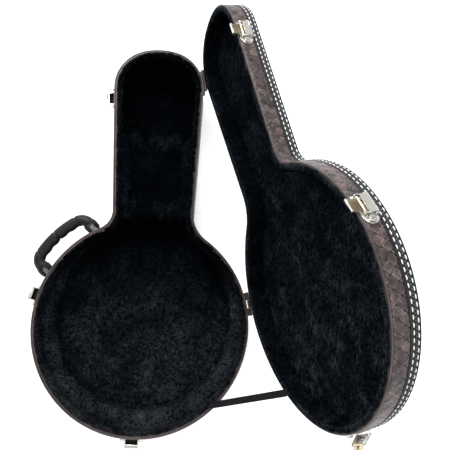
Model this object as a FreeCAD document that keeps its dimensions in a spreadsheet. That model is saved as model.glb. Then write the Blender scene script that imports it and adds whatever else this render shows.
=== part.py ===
"""Hard-shell case for a short-scale banjo: a deep base and a shallow hinged lid, modelled open.

Frame: millimetres, +Z up, origin on the case's underside below the centre of its round body,
+Y towards the headstock end, +X towards the hinges. The base lies on its back and the lid
stands open against its webbing stay. Lid pieces are drawn closed and then swung open.
"""
import FreeCAD, Part
import math
import os
import re

import Sketcher

DOC = FreeCAD.newDocument("BanjoCase")
Vector = FreeCAD.Vector
UP = Vector(0, 0, 1)

SIZES = {
    # plan outline of the shell
    "body_radius": 165, "corner_radius": 64.5, "corner_x": 9, "corner_y": 390, "top_radius": 103,
    "neck_offset": 11, "neck_splay": 2.7, "shoulder_left": 31, "shoulder_right": 51,
    # depths
    "base_depth": 68, "lid_depth": 35, "rim_gap": 0.3,
    # layers, as insets from the outline
    "trim_proud": -0.6, "binding_proud": -0.3, "outline": 0, "ply_outer": 1, "ply_inner": 6.2,
    "binding_inner": 7.3, "board_inner": 8.3, "lining_inner": 10.5, "trim_flange": 12,
    # layer thicknesses and bands
    "cover_thick": 1, "panel_thick": 4, "floor_lining": 4, "binding_thick": 1.2,
    "binding_flange": 12.5, "trim_band": 13.5, "lining_below_rim": 3,
    # padded ring round the body well, neck block and its side pads
    "ring_outer": 154.2, "ring_width": 24, "ring_span": 276,
    "block_low": 172, "block_high": 302, "block_top": 50, "block_inset": 10.8,
    "pad_width": 13, "pad_height": 9,
    # hinges
    "hinge_angle": 12.25, "hinge_offset": 169.5, "lid_open": 106.4,
    "hinge_half": 18, "knuckle_radius": 2.2, "knuckle_half": 5.8, "knuckle_gap": 0.4,
    "hinge_pin_radius": 1.2, "hinge_bore": 1.26, "leaf_height": 17,
    # latches
    "latch_head_y": 367, "latch_body_angle": 165, "latch_tail_angle": 268,
    "tail_lever_open": 38, "tail_hasp_open": 22,
    "latch_plate_thick": 1.2, "lever_half": 12, "latch_pin_out": 4.4, "lever_pin_up": 18,
    "hasp_pin_up": 6, "lever_pin_radius": 1, "hasp_pin_radius": 0.8, "latch_clearance": 0.05,
    "hasp_half": 8, "keeper_half": 10, "keeper_out": 13, "keeper_wall": 1.2, "keeper_lip": 4.8,
    "plug_x": -17.2, "plug_up": 11, "plug_radius": 3, "rivet_radius": 1.6,
    # carrying handle
    "handle_angle": 136, "handle_height": 42, "handle_pin_out": 5, "post_half": 49.4,
    "grip_radius": 9.5, "grip_reach": 29, "grip_bend": 16, "grip_crown_radius": 150, "fork_gap": 4.2,
    "fork_depth": 7, "bracket_half": 3.8, "handle_pin_radius": 2, "handle_pin_length": 17,
    "core_width": 8, "core_thick": 1.6,
    # webbing stay
    "stay_radius": 145, "stay_base_angle": -46.5, "stay_lid_angle": -41, "stay_rim_offset": 7.5,
    "stay_width": 11, "stay_thick": 1.2, "tab_thick": 1.6,
}

sheet = DOC.addObject("Spreadsheet::Sheet", "Sizes")
for row, (alias, value) in enumerate(SIZES.items(), start=1):
    sheet.set(f"A{row}", alias)
    sheet.set(f"B{row}", str(value))
    sheet.setAlias(f"B{row}", alias)
DOC.recompute()

NODES = {}


def size(alias):
    """Value of one driving dimension, read from the sheet."""
    return float(sheet.get(alias))


def cells(text):
    """Expression text in which each driving dimension refers to its cell in the sheet."""
    return re.sub(r"\b[a-z]+(?:_[a-z]+)+\b|\boutline\b", r"Sizes.\g<0>", text)


def bind(item, prop, text):
    item.setExpression(prop, cells(text))


def keep(name, item):
    """Register a finished sub-part under its own label."""
    item.Label = name
    NODES[name] = item
    return item


# ---------------------------------------------------------------- plan outline

RIM = size("base_depth")
SPLAY = math.radians(size("neck_splay"))


def wall_x(side, y, inset=0.0):
    """X of the splayed neck wall at height y; side is +1 for the hinge side and -1 for the other."""
    half = size("corner_x") + (size("corner_radius") - inset) / math.cos(SPLAY)
    return size("neck_offset") + side * (half + math.tan(SPLAY) * (y - size("corner_y")))


def shoulder_centre(side):
    """Centre of the concave arc that joins the round body to the neck wall."""
    radius = size("shoulder_right" if side > 0 else "shoulder_left")
    reach = size("body_radius") + radius
    low, high = 60.0, size("corner_y")
    for _ in range(60):
        middle = (low + high) / 2
        x = wall_x(side, middle) + side * radius / math.cos(SPLAY)
        if math.hypot(x, middle) < reach:
            low = middle
        else:
            high = middle
    return Vector(wall_x(side, low) + side * radius / math.cos(SPLAY), low, 0)


def arc(centre, radius, start, end):
    circle = Part.Circle(centre, UP, radius)
    return Part.ArcOfCircle(circle, start, end)


def outline_loop(sketch, inset):
    """Add the case outline, moved inwards by a named inset, as tangent arcs and lines.

    The loop runs anticlockwise from the round body: shoulder, neck wall, headstock corner,
    crown, and back down the other side.
    """
    shift = size(inset)
    right, left = shoulder_centre(1), shoulder_centre(-1)
    body = size("body_radius") - shift
    corner = size("corner_radius") - shift
    crown = size("top_radius") - shift
    span = size("top_radius") - size("corner_radius")
    offset = size("neck_offset")
    crown_y = size("corner_y") - math.sqrt(span ** 2 - size("corner_x") ** 2)
    lean = math.acos(size("corner_x") / span)
    right_at = math.atan2(right.y, right.x)
    left_at = math.atan2(left.y, left.x)
    right_corner = Vector(offset + size("corner_x"), size("corner_y"), 0)
    left_corner = Vector(offset - size("corner_x"), size("corner_y"), 0)
    shapes = [
        arc(Vector(), body, left_at, right_at + 2 * math.pi),
        arc(right, size("shoulder_right") + shift, math.pi - SPLAY, math.pi + right_at),
        None,
        arc(right_corner, corner, -SPLAY, lean),
        arc(Vector(offset, crown_y, 0), crown, lean, math.pi - lean),
        arc(left_corner, corner, math.pi - lean, math.pi + SPLAY),
        None,
        arc(left, size("shoulder_left") + shift, left_at - math.pi, SPLAY),
    ]
    shapes[2] = Part.LineSegment(shapes[1].StartPoint, shapes[3].StartPoint)
    shapes[6] = Part.LineSegment(shapes[5].EndPoint, shapes[7].EndPoint)
    body_g, right_g, wall_r, corner_r, crown_g, corner_l, wall_l, left_g = sketch.addGeometry(shapes)
    start, end, centre = 1, 2, 3
    origin = (-1, 1)
    sketch.addConstraint(Sketcher.Constraint("Coincident", body_g, centre, *origin))
    joins = [
        (body_g, end, right_g, end), (right_g, start, wall_r, start), (wall_r, end, corner_r, start),
        (corner_r, end, crown_g, start), (crown_g, end, corner_l, start), (corner_l, end, wall_l, start),
        (wall_l, end, left_g, end), (left_g, start, body_g, start),
    ]
    for join in joins:
        sketch.addConstraint(Sketcher.Constraint("Tangent", *join))
    radii = [
        (body_g, body, "body_radius", "-"),
        (right_g, size("shoulder_right") + shift, "shoulder_right", "+"),
        (corner_r, corner, "corner_radius", "-"), (crown_g, crown, "top_radius", "-"),
        (corner_l, corner, "corner_radius", "-"),
        (left_g, size("shoulder_left") + shift, "shoulder_left", "+"),
    ]
    for item, value, alias, sign in radii:
        index = sketch.addConstraint(Sketcher.Constraint("Radius", item, value))
        bind(sketch, f"Constraints[{index}]", f"{alias} {sign} {inset}")
    for item, side in ((corner_r, "+"), (corner_l, "-")):
        x = right_corner.x if side == "+" else left_corner.x
        index = sketch.addConstraint(Sketcher.Constraint("DistanceX", *origin, item, centre, x))
        bind(sketch, f"Constraints[{index}]", f"neck_offset {side} corner_x")
        index = sketch.addConstraint(Sketcher.Constraint("DistanceY", *origin, item, centre, right_corner.y))
        bind(sketch, f"Constraints[{index}]", "corner_y")
    upright = math.pi / 2 - SPLAY
    for item, value, text in ((wall_r, upright, "90 - neck_splay"), (wall_l, -upright, "neck_splay - 90")):
        index = sketch.addConstraint(Sketcher.Constraint("Angle", item, value))
        bind(sketch, f"Constraints[{index}]", f"({text}) * 1 deg")


# ---------------------------------------------------------------- building helpers

def new_sketch(body, name, plane="XY_Plane", level="0"):
    """Sketch attached to one of the body's own origin planes, raised to a level along its normal."""
    sketch = body.newObject("Sketcher::SketchObject", name)
    origin = next(item for item in body.Origin.OriginFeatures if item.Role == plane)
    sketch.AttachmentSupport = [(origin, "")]
    sketch.MapMode = "FlatFace"
    bind(sketch, "AttachmentOffset.Base.z", level)
    return sketch


def layered_body(name, layers, place=None):
    """Body padded up layer by layer from outlines: (outer inset, inner inset, bottom, height)."""
    body = DOC.addObject("PartDesign::Body", name)
    for count, (outer, inner, bottom, height) in enumerate(layers):
        sketch = new_sketch(body, f"{name}_outline{count}", level=bottom)
        outline_loop(sketch, outer)
        if inner:
            outline_loop(sketch, inner)
        pad = body.newObject("PartDesign::Pad", f"{name}_pad{count}")
        pad.Profile = sketch
        bind(pad, "Length", height)
    if place:
        body.Placement = place
    return keep(name, body)


def block(name, low, span):
    """Box from its low corner and its three sizes, each given as an expression."""
    item = DOC.addObject("Part::Box", name)
    for prop, text in zip(("Length", "Width", "Height"), span):
        bind(item, prop, text)
    for axis, text in zip("xyz", low):
        bind(item, f"Placement.Base.{axis}", text)
    return item


AXIS_TURNS = {
    "x": FreeCAD.Rotation(Vector(0, 1, 0), 90),
    "y": FreeCAD.Rotation(Vector(1, 0, 0), -90),
    "z": FreeCAD.Rotation(),
}


def rod(name, start, radius, length, along="z"):
    """Cylinder from the centre of its first face, running along one axis."""
    item = DOC.addObject("Part::Cylinder", name)
    item.Placement.Rotation = AXIS_TURNS[along]
    bind(item, "Radius", radius)
    bind(item, "Height", length)
    for axis, text in zip("xyz", start):
        bind(item, f"Placement.Base.{axis}", text)
    return item


def union(name, items):
    item = DOC.addObject("Part::MultiFuse", name)
    item.Shapes = items
    item.Refine = True
    return item


def cut(name, base, tool):
    item = DOC.addObject("Part::Cut", name)
    item.Base = base
    item.Tool = tool
    return item


def placed(name, item, place):
    """Register a sub-part that was drawn in a local frame, moved to its place.

    A lone primitive keeps its own bound placement inside a compound.
    """
    if item.TypeId in ("Part::Box", "Part::Cylinder"):
        group = DOC.addObject("Part::Compound", f"{name}_group")
        group.Links = [item]
        item = group
    item.Placement = place
    return keep(name, item)


# ---------------------------------------------------------------- places

def on_circle(radius, angle, height):
    """Frame on an upright wall: X along the wall, Y outwards, Z up; angle is the wall's normal."""
    turn = math.radians(angle)
    spot = Vector(radius * math.cos(turn), radius * math.sin(turn), height)
    return FreeCAD.Placement(spot, FreeCAD.Rotation(UP, angle - 90))


def turned(axis, angle, through):
    return FreeCAD.Placement(Vector(), FreeCAD.Rotation(axis, angle), through)


HINGE_TURN = math.radians(size("hinge_angle"))
HINGE_NORMAL = Vector(math.cos(HINGE_TURN), math.sin(HINGE_TURN), 0)
HINGE_LINE = Vector(-math.sin(HINGE_TURN), math.cos(HINGE_TURN), 0)
HINGE_POINT = HINGE_NORMAL * size("hinge_offset") + UP * RIM
LID_POSE = turned(HINGE_LINE, size("lid_open"), HINGE_POINT)


# ---------------------------------------------------------------- shell of the base

def build_base_shell():
    top = "base_depth - rim_gap - binding_thick"
    layered_body("base_back_cover", [("trim_flange", None, "0", "cover_thick")])
    layered_body("base_edge_trim", [
        ("trim_proud", "trim_flange", "0", "cover_thick"),
        ("trim_proud", "ply_outer", "cover_thick", "trim_band - cover_thick"),
    ])
    layered_body("base_back_panel", [("ply_outer", None, "cover_thick", "panel_thick")])
    layered_body("base_side_wall", [
        ("ply_outer", "ply_inner", "cover_thick + panel_thick", f"{top} - cover_thick - panel_thick"),
    ])
    layered_body("base_side_cover", [("outline", "ply_outer", "trim_band", f"{top} - trim_band")])
    layered_body("base_rim_binding", [
        ("ply_inner", "binding_inner", f"{top} - binding_flange", "binding_flange"),
        ("binding_proud", "binding_inner", top, "binding_thick"),
    ])


def build_base_lining():
    panel_top = "(cover_thick + panel_thick)"
    floor = "(cover_thick + panel_thick + floor_lining)"
    flange = "(base_depth - rim_gap - binding_thick - binding_flange)"
    layered_body("base_floor_lining", [("ply_inner", None, panel_top, "floor_lining")])
    layered_body("base_wall_lining", [
        ("ply_inner", "lining_inner", floor, f"{flange} - {floor}"),
        ("board_inner", "lining_inner", flange, f"base_depth - lining_below_rim - {flange}"),
    ])


# ---------------------------------------------------------------- shell of the lid

def build_lid_shell():
    rim = "base_depth + rim_gap"
    top = "base_depth + lid_depth"
    layered_body("lid_top_cover", [("trim_flange", None, f"{top} - cover_thick", "cover_thick")], LID_POSE)
    layered_body("lid_edge_trim", [
        ("trim_proud", "ply_outer", f"{top} - trim_band", "trim_band - cover_thick"),
        ("trim_proud", "trim_flange", f"{top} - cover_thick", "cover_thick"),
    ], LID_POSE)
    layered_body("lid_top_panel", [
        ("ply_outer", None, f"{top} - cover_thick - panel_thick", "panel_thick"),
    ], LID_POSE)
    layered_body("lid_side_wall", [
        ("ply_outer", "ply_inner", f"{rim} + binding_thick",
         "lid_depth - rim_gap - binding_thick - panel_thick - cover_thick"),
    ], LID_POSE)
    layered_body("lid_side_cover", [
        ("outline", "ply_outer", f"{rim} + binding_thick", "lid_depth - rim_gap - binding_thick - trim_band"),
    ], LID_POSE)
    layered_body("lid_rim_binding", [
        ("binding_proud", "binding_inner", rim, "binding_thick"),
        ("ply_inner", "binding_inner", f"{rim} + binding_thick", "binding_flange"),
    ], LID_POSE)


def build_lid_lining():
    flange = "(base_depth + rim_gap + binding_thick + binding_flange)"
    lining = "(base_depth + lid_depth - cover_thick - panel_thick - floor_lining)"
    start = "(base_depth + lining_below_rim)"
    layered_body("lid_top_lining", [("ply_inner", None, lining, "floor_lining")], LID_POSE)
    layered_body("lid_wall_lining", [
        ("board_inner", "lining_inner", start, f"{flange} - {start}"),
        ("ply_inner", "lining_inner", flange, f"{lining} - {flange}"),
    ], LID_POSE)


# ---------------------------------------------------------------- padding inside the base

def build_ring_pad():
    """Quarter-round pad that runs round the body well and stops at the neck."""
    body = DOC.addObject("PartDesign::Body", "body_ring_pad")
    sketch = new_sketch(body, "ring_section", "XZ_Plane")
    outer, width = size("ring_outer"), size("ring_width")
    floor = size("cover_thick") + size("panel_thick") + size("floor_lining")
    corner = Vector(outer, floor, 0)
    low = Vector(outer - width, floor, 0)
    high = Vector(outer, floor + width, 0)
    section = [arc(corner, width, math.pi / 2, math.pi), Part.LineSegment(low, corner),
               Part.LineSegment(corner, high)]
    round_g, foot, back = sketch.addGeometry(section)
    rules = [
        ("Coincident", round_g, 2, foot, 1), ("Coincident", foot, 2, back, 1),
        ("Coincident", back, 2, round_g, 1), ("Coincident", round_g, 3, foot, 2),
        ("Horizontal", foot), ("Vertical", back),
    ]
    for rule in rules:
        sketch.addConstraint(Sketcher.Constraint(*rule))
    index = sketch.addConstraint(Sketcher.Constraint("Radius", round_g, width))
    bind(sketch, f"Constraints[{index}]", "ring_width")
    index = sketch.addConstraint(Sketcher.Constraint("DistanceX", -1, 1, round_g, 3, outer))
    bind(sketch, f"Constraints[{index}]", "ring_outer")
    index = sketch.addConstraint(Sketcher.Constraint("DistanceY", -1, 1, round_g, 3, floor))
    bind(sketch, f"Constraints[{index}]", "cover_thick + panel_thick + floor_lining")
    turn = body.newObject("PartDesign::Revolution", "ring_turn")
    turn.Profile = sketch
    turn.ReferenceAxis = (sketch, ["V_Axis"])
    turn.Midplane = True
    bind(turn, "Angle", "ring_span")
    body.Placement = FreeCAD.Placement(Vector(), FreeCAD.Rotation(UP, -90))
    keep("body_ring_pad", body)


def wall_strip(name, sides, level, height):
    """Body padded from a four-sided plan between the block's ends; sides gives each wall's (side, inset)."""
    body = DOC.addObject("PartDesign::Body", name)
    sketch = new_sketch(body, f"{name}_plan", level=level)
    ends = ("block_low", "block_high")
    corners = [(sides[0], ends[0]), (sides[1], ends[0]), (sides[1], ends[1]), (sides[0], ends[1])]
    points = []
    for (side, inset), end in corners:
        points.append(Vector(wall_x(side, size(end), inset_value(inset)), size(end), 0))
    lines = [Part.LineSegment(points[i], points[(i + 1) % 4]) for i in range(4)]
    edges = sketch.addGeometry(lines)
    for i in range(4):
        sketch.addConstraint(Sketcher.Constraint("Coincident", edges[i], 2, edges[(i + 1) % 4], 1))
    for i, ((side, inset), end) in enumerate(corners):
        sign = "+" if side > 0 else "-"
        half = f"corner_x + (corner_radius - ({inset})) / cos(neck_splay * 1 deg)"
        lean = f"tan(neck_splay * 1 deg) * ({end} - corner_y)"
        index = sketch.addConstraint(Sketcher.Constraint("DistanceX", -1, 1, edges[i], 1, points[i].x))
        bind(sketch, f"Constraints[{index}]", f"neck_offset {sign} ({half} + {lean})")
        index = sketch.addConstraint(Sketcher.Constraint("DistanceY", -1, 1, edges[i], 1, points[i].y))
        bind(sketch, f"Constraints[{index}]", end)
    pad = body.newObject("PartDesign::Pad", f"{name}_pad")
    pad.Profile = sketch
    bind(pad, "Length", height)
    keep(name, body)


def inset_value(text):
    """Value of an inset written as a sum of aliases."""
    return sum(size(alias.strip()) for alias in text.split("+"))


def build_neck_block():
    floor = "(cover_thick + panel_thick + floor_lining)"
    left, right = (-1, "block_inset"), (1, "block_inset")
    wall_strip("neck_block", (left, right), floor, f"block_top - {floor}")
    wall_strip("neck_side_pad_left", (left, (-1, "block_inset + pad_width")), "block_top", "pad_height")
    wall_strip("neck_side_pad_right", ((1, "block_inset + pad_width"), right), "block_top", "pad_height")


# ---------------------------------------------------------------- hinges

def wall_round(name, radius, out):
    """Cutter with the shape of a round wall whose outer surface crosses local Y at out."""
    return rod(name, ("0", f"{out} - ({radius})", "-40"), radius, "80")


def build_hinge(name, along, wall_radius, wall_out):
    """Butt hinge: base leaf with two knuckles and its pin, and a lid leaf with the middle knuckle."""
    base_place = on_circle(size("hinge_offset"), size("hinge_angle"), RIM)
    base_place.Base = base_place.Base + HINGE_LINE * along
    side = "hinge_half - knuckle_half - knuckle_gap"
    left, right = "-(hinge_half)", "knuckle_half + knuckle_gap"

    def leaf(label, plate_low, web_low, knuckles, bore):
        span = ("2 * hinge_half", f"8 + {wall_out} + 1.4", "leaf_height")
        plate = block(f"{label}_plate", ("-(hinge_half)", "-8", plate_low), span)
        pieces = [plate]
        for count, (start, length) in enumerate(knuckles):
            pieces.append(block(f"{label}_web{count}", (start, "-8", web_low), (length, "8.8", "1.5")))
            pieces.append(rod(f"{label}_knuckle{count}", (start, "0", "0"), "knuckle_radius", length, "x"))
        solid = union(f"{label}_solid", pieces)
        wall = wall_round(f"{label}_wall", wall_radius, wall_out)
        hole = rod(f"{label}_hole", ("-(hinge_half) - 1", "0", "0"), bore, "2 * hinge_half + 2", "x")
        return cut(label, solid, union(f"{label}_cutters", [wall, hole]))

    outer_knuckles = [(left, side), (right, side)]
    low = "-(leaf_height) - 3.4"
    base_leaf = leaf(f"{name}_base_leaf", low, "-3.6", outer_knuckles, "hinge_pin_radius")
    placed(f"{name}_base_leaf", base_leaf, base_place)
    middle_knuckle = [("-(knuckle_half)", "2 * knuckle_half")]
    lid_leaf = leaf(f"{name}_lid_leaf", "3.4", "2.1", middle_knuckle, "hinge_bore")
    placed(f"{name}_lid_leaf", lid_leaf, LID_POSE * base_place)
    pin = rod(f"{name}_pin", ("-(hinge_half) - 0.5", "0", "0"), "hinge_pin_radius", "2 * hinge_half + 1", "x")
    placed(f"{name}_pin", pin, base_place)


# ---------------------------------------------------------------- latches

def wall_cutter(name, curved):
    """Everything inside the outer surface of the wall that a fitting is fixed to."""
    if curved:
        return wall_round(name, "body_radius", "0")
    return block(name, ("-40", "-20", "-40"), ("80", "20", "80"))


def build_keeper(name, place, curved):
    """Catch on the base: a flanged plate, and an open-topped box with a thick lip for the hasp."""
    plate = block(f"{name}_plate", ("-17", "-3.5", "-21"), ("34", "3.5 + latch_plate_thick", "17.5"))
    flange = block(f"{name}_flange", ("-17", "-3.5", "-5"), ("34", "6.7", "1.5"))
    box = block(f"{name}_box", ("-(keeper_half)", "0", "-13"), ("2 * keeper_half", "keeper_out", "9.5"))
    hollow = block(
        f"{name}_hollow", ("keeper_wall - keeper_half", "latch_plate_thick", "keeper_wall - 13"),
        ("2 * keeper_half - 2 * keeper_wall", "keeper_out - latch_plate_thick - keeper_lip", "15"),
    )
    solid = union(f"{name}_solid", [plate, flange, box])
    cutters = union(f"{name}_cutters", [wall_cutter(f"{name}_wall", curved), hollow])
    placed(name, cut(name, solid, cutters), place)


def build_latch_plate(name, place, curved):
    """Back plate on the lid, round at the key's end, with lugs for the lever's pin and a key boss."""
    plate = block(f"{name}_sheet", ("-12.5", "-2.5", "2"), ("26.5", "2.5 + latch_plate_thick", "19"))
    end = rod(f"{name}_end", ("-12.5", "-2.5", "11.5"), "9.5", "2.5 + latch_plate_thick", "y")
    pieces = [plate, end]
    for count, low in enumerate(("-(lever_half) - 2", "lever_half + 0.6")):
        span = ("1.4", "latch_pin_out + 2", "4.4")
        pieces.append(block(f"{name}_lug{count}", (low, "0", "lever_pin_up - 2.2"), span))
    pieces.append(rod(f"{name}_boss", ("plug_x", "0", "plug_up"), "plug_radius + 1.5", "4", "y"))
    hole = rod(f"{name}_hole", ("-20", "latch_pin_out", "lever_pin_up"), "lever_pin_radius", "40", "x")
    start = ("plug_x", "latch_plate_thick", "plug_up")
    bore = rod(f"{name}_bore", start, "plug_radius + latch_clearance", "8", "y")
    cutters = union(f"{name}_cutters", [wall_cutter(f"{name}_wall", curved), hole, bore])
    placed(name, cut(name, union(f"{name}_solid", pieces), cutters), place)


def build_key_plug(name, place):
    """Key plug with its keyway; it turns a quarter turn in the boss."""
    plug = rod(f"{name}_barrel", ("plug_x", "latch_plate_thick + 0.1", "plug_up"), "plug_radius", "3.2", "y")
    way = block(f"{name}_way", ("plug_x - 0.4", "3", "plug_up - 1.8"), ("0.8", "3", "3.6"))
    placed(name, cut(name, plug, way), place)


def build_lever(name, place):
    """Channel-shaped lever: an outer face and two cheeks, bored for both pins."""
    face = block(f"{name}_face", ("-(lever_half)", "6", "8.5"), ("2 * lever_half", "1.2", "11.3"))
    cheeks = []
    for count, low in enumerate(("-(lever_half)", "lever_half - 1.2")):
        cheeks.append(block(f"{name}_cheek{count}", (low, "2.2", "3.6"), ("1.2", "5", "16.2")))
    running = "lever_pin_radius + latch_clearance"
    top = rod(f"{name}_top", ("-20", "latch_pin_out", "lever_pin_up"), running, "40", "x")
    low = rod(f"{name}_low", ("-20", "latch_pin_out", "hasp_pin_up"), "hasp_pin_radius", "40", "x")
    solid = union(f"{name}_solid", [face] + cheeks)
    placed(name, cut(name, solid, union(f"{name}_holes", [top, low])), place)


def build_hasp(name, place):
    """Hasp: an eye on the lever's lower pin, a flat tongue, and a lip that hooks in the keeper."""
    start = ("-(hasp_half) - 2", "latch_pin_out", "hasp_pin_up")
    eye = rod(f"{name}_eye", start, "1.9", "2 * hasp_half + 4", "x")
    span = ("2 * hasp_half", "2", "hasp_pin_up + 9.5")
    tongue = block(f"{name}_tongue", ("-(hasp_half)", "3.4", "-9.5"), span)
    lip = block(f"{name}_lip", ("-(hasp_half)", "5", "-9.5"), ("2 * hasp_half", "1.6", "1.2"))
    running = "hasp_pin_radius + latch_clearance"
    bore = rod(f"{name}_bore", ("-20", "latch_pin_out", "hasp_pin_up"), running, "40", "x")
    placed(name, cut(name, union(f"{name}_solid", [eye, tongue, lip]), bore), place)


def build_rivets(name, spots):
    """Domed rivet heads, one solid for each (place, x, height above the rim)."""
    heads = []
    for place, x, height in spots:
        dome = Part.makeSphere(size("rivet_radius") * 1.25, Vector(x, 0.2, height))
        slab = Part.makeBox(8, 4, 8, Vector(x - 4, size("latch_plate_thick"), height - 4))
        head = dome.common(slab)
        head.Placement = place
        heads.append(head)
    item = DOC.addObject("Part::Feature", name)
    item.Shape = Part.makeCompound(heads)
    keep(name, item)


def latch_places():
    """Wall place of each latch, whether the wall there is curved, and how far it rests open."""
    y = size("latch_head_y")
    head = FreeCAD.Placement(Vector(wall_x(-1, y), y, RIM), FreeCAD.Rotation(UP, 90 + size("neck_splay")))
    body = on_circle(size("body_radius"), size("latch_body_angle"), RIM)
    tail = on_circle(size("body_radius"), size("latch_tail_angle"), RIM)
    return {
        "head": (head, False, 0, 0),
        "body": (body, True, 0, 0),
        "tail": (tail, True, size("tail_lever_open"), size("tail_hasp_open")),
    }


def build_latches():
    along = Vector(1, 0, 0)
    keeper_spots, plate_spots = [], []
    for name, (place, curved, lever_open, hasp_open) in latch_places().items():
        lever_axis = Vector(0, size("latch_pin_out"), size("lever_pin_up"))
        hasp_axis = Vector(0, size("latch_pin_out"), size("hasp_pin_up"))
        on_lid = LID_POSE * place
        lever_pose = on_lid * turned(along, lever_open, lever_axis)
        hasp_pose = lever_pose * turned(along, hasp_open, hasp_axis)
        build_keeper(f"keeper_{name}", place, curved)
        build_latch_plate(f"latch_plate_{name}", on_lid, curved)
        build_key_plug(f"key_plug_{name}", on_lid)
        build_lever(f"latch_lever_{name}", lever_pose)
        build_hasp(f"latch_hasp_{name}", hasp_pose)
        lever_pin = rod(f"lever_pin_{name}", ("-(lever_half) - 2.2", "latch_pin_out", "lever_pin_up"),
                        "lever_pin_radius", "2 * lever_half + 4.4", "x")
        placed(f"lever_pin_{name}", lever_pin, on_lid)
        hasp_pin = rod(f"hasp_pin_{name}", ("-(lever_half)", "latch_pin_out", "hasp_pin_up"),
                       "hasp_pin_radius", "2 * lever_half", "x")
        placed(f"hasp_pin_{name}", hasp_pin, lever_pose)
        keeper_spots += [(place, x, -12) for x in (-13.5, 13.5)]
        keeper_spots += [(place, x, -18) for x in (-8, 8)]
        plate_spots += [(on_lid, -15.8, height) for height in (4.4, 18)]
        plate_spots += [(on_lid, x, 4.6) for x in (-8, 8)]
    build_rivets("keeper_rivets", keeper_spots)
    build_rivets("latch_rivets", plate_spots)


# ---------------------------------------------------------------- carrying handle

def grip_path():
    """Centre line of the grip in its local frame: up from each fork, round a bend, over a low crown."""
    half, out = size("post_half"), size("handle_pin_out")
    bend, crown = size("grip_bend"), size("grip_crown_radius")
    top = out + size("grip_reach")
    across = half - bend
    rise = math.sqrt((crown - bend) ** 2 - across ** 2)
    bend_y = top - crown + rise
    lean = math.atan2(rise, across)

    def bent(side, angle):
        return Vector(side * (across + bend * math.cos(angle)), bend_y + bend * math.sin(angle), 0)

    foot = {side: Vector(side * half, out, 0) for side in (-1, 1)}
    return [
        Part.LineSegment(foot[-1], bent(-1, 0)).toShape(),
        Part.Arc(bent(-1, 0), bent(-1, lean / 2), bent(-1, lean)).toShape(),
        Part.Arc(bent(-1, lean), Vector(0, top, 0), bent(1, lean)).toShape(),
        Part.Arc(bent(1, lean), bent(1, lean / 2), bent(1, 0)).toShape(),
        Part.LineSegment(bent(1, 0), foot[1]).toShape(),
    ]


def swept(section, path):
    """Solid swept by one closed section along a smooth path."""
    return Part.Wire(path).makePipeShell([section], True, False)


def crossed(side, radius, length):
    """Cylinder along the local X axis, centred on one of the two handle pins."""
    start = Vector(side * size("post_half") - length / 2, size("handle_pin_out"), 0)
    return Part.makeCylinder(radius, length, start, Vector(1, 0, 0))


def feature(name, shape, place):
    """Sub-part whose shape comes from Part's own functions."""
    item = DOC.addObject("Part::Feature", name)
    item.Shape = shape
    placed(name, item, place)


def build_handle():
    """Moulded grip with a forked end over each bracket, its steel core, pins and brackets."""
    place = on_circle(size("body_radius"), size("handle_angle"), size("handle_height"))
    half, out, gap = size("post_half"), size("handle_pin_out"), size("fork_gap")
    path = grip_path()
    ring = Part.Wire(Part.makeCircle(size("grip_radius"), Vector(-half, out, 0), Vector(0, 1, 0)))
    grip = swept(ring, path)
    for side in (-1, 1):
        grip = grip.fuse(Part.makeSphere(size("grip_radius"), Vector(side * half, out, 0)))
    for side in (-1, 1):
        slot = Part.makeBox(2 * gap, size("fork_depth") + 20, 40, Vector(side * half - gap, out - 20, -20))
        grip = grip.cut([slot, crossed(side, size("handle_pin_radius"), 40)])
    start = path[1].Vertexes[0].Point
    wide, thick = size("core_width") / 2, size("core_thick") / 2
    corners = [(-thick, -wide), (thick, -wide), (thick, wide), (-thick, wide), (-thick, -wide)]
    core = swept(Part.makePolygon([start + Vector(x, 0, z) for x, z in corners]), path[1:4])
    feature("handle_grip", grip.cut(core), place)
    feature("handle_core", core, place)
    pins = [crossed(side, size("handle_pin_radius"), size("handle_pin_length")) for side in (-1, 1)]
    feature("handle_pins", Part.makeCompound(pins), place)
    build_handle_brackets(place)
    keep("handle_backing_board", backing_board())


def build_handle_brackets(place):
    """Bracket for each end of the handle: a foot plate on the curved wall and an eye for the pin."""
    for name, side in (("left", "-"), ("right", "")):
        centre = f"{side}post_half"
        label = f"handle_bracket_{name}"
        foot = block(f"{label}_foot", (f"{centre} - 9", "-16", "-11"), ("18", "16", "22"))
        outer = rod(f"{label}_outer", ("0", "-(body_radius)", "-11"), "body_radius + 1.6", "22")
        plate = DOC.addObject("Part::Common", f"{label}_plate")
        plate.Base = foot
        plate.Tool = outer
        edge = f"{centre} - bracket_half"
        arm = block(f"{label}_arm", (edge, "-14", "-5.5"), ("2 * bracket_half", "14 + handle_pin_out", "11"))
        eye = rod(f"{label}_eye", (edge, "handle_pin_out", "0"), "5.5", "2 * bracket_half", "x")
        start = (f"{centre} - 15", "handle_pin_out", "0")
        hole = rod(f"{label}_hole", start, "handle_pin_radius + 0.06", "30", "x")
        wall = rod(f"{label}_wall", ("0", "-(body_radius)", "-20"), "body_radius", "40")
        solid = union(f"{label}_solid", [plate, arm, eye])
        placed(label, cut(label, solid, union(f"{label}_cutters", [wall, hole])), place)


def backing_board():
    """Thin curved board on the inside of the wall that spreads the handle's load."""
    pieces = []
    for name, inset in (("outer", "binding_inner"), ("inner", "board_inner")):
        item = DOC.addObject("Part::Cylinder", f"board_{name}")
        bind(item, "Radius", f"body_radius - {inset}")
        bind(item, "Height", "binding_flange")
        item.Angle = 40
        pieces.append(item)
    board = cut("board", *pieces)
    turn = FreeCAD.Rotation(UP, size("handle_angle") - 20)
    level = RIM - size("rim_gap") - size("binding_thick") - size("binding_flange")
    board.Placement = FreeCAD.Placement(Vector(0, 0, level), turn)
    return board


# ---------------------------------------------------------------- webbing stay

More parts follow.
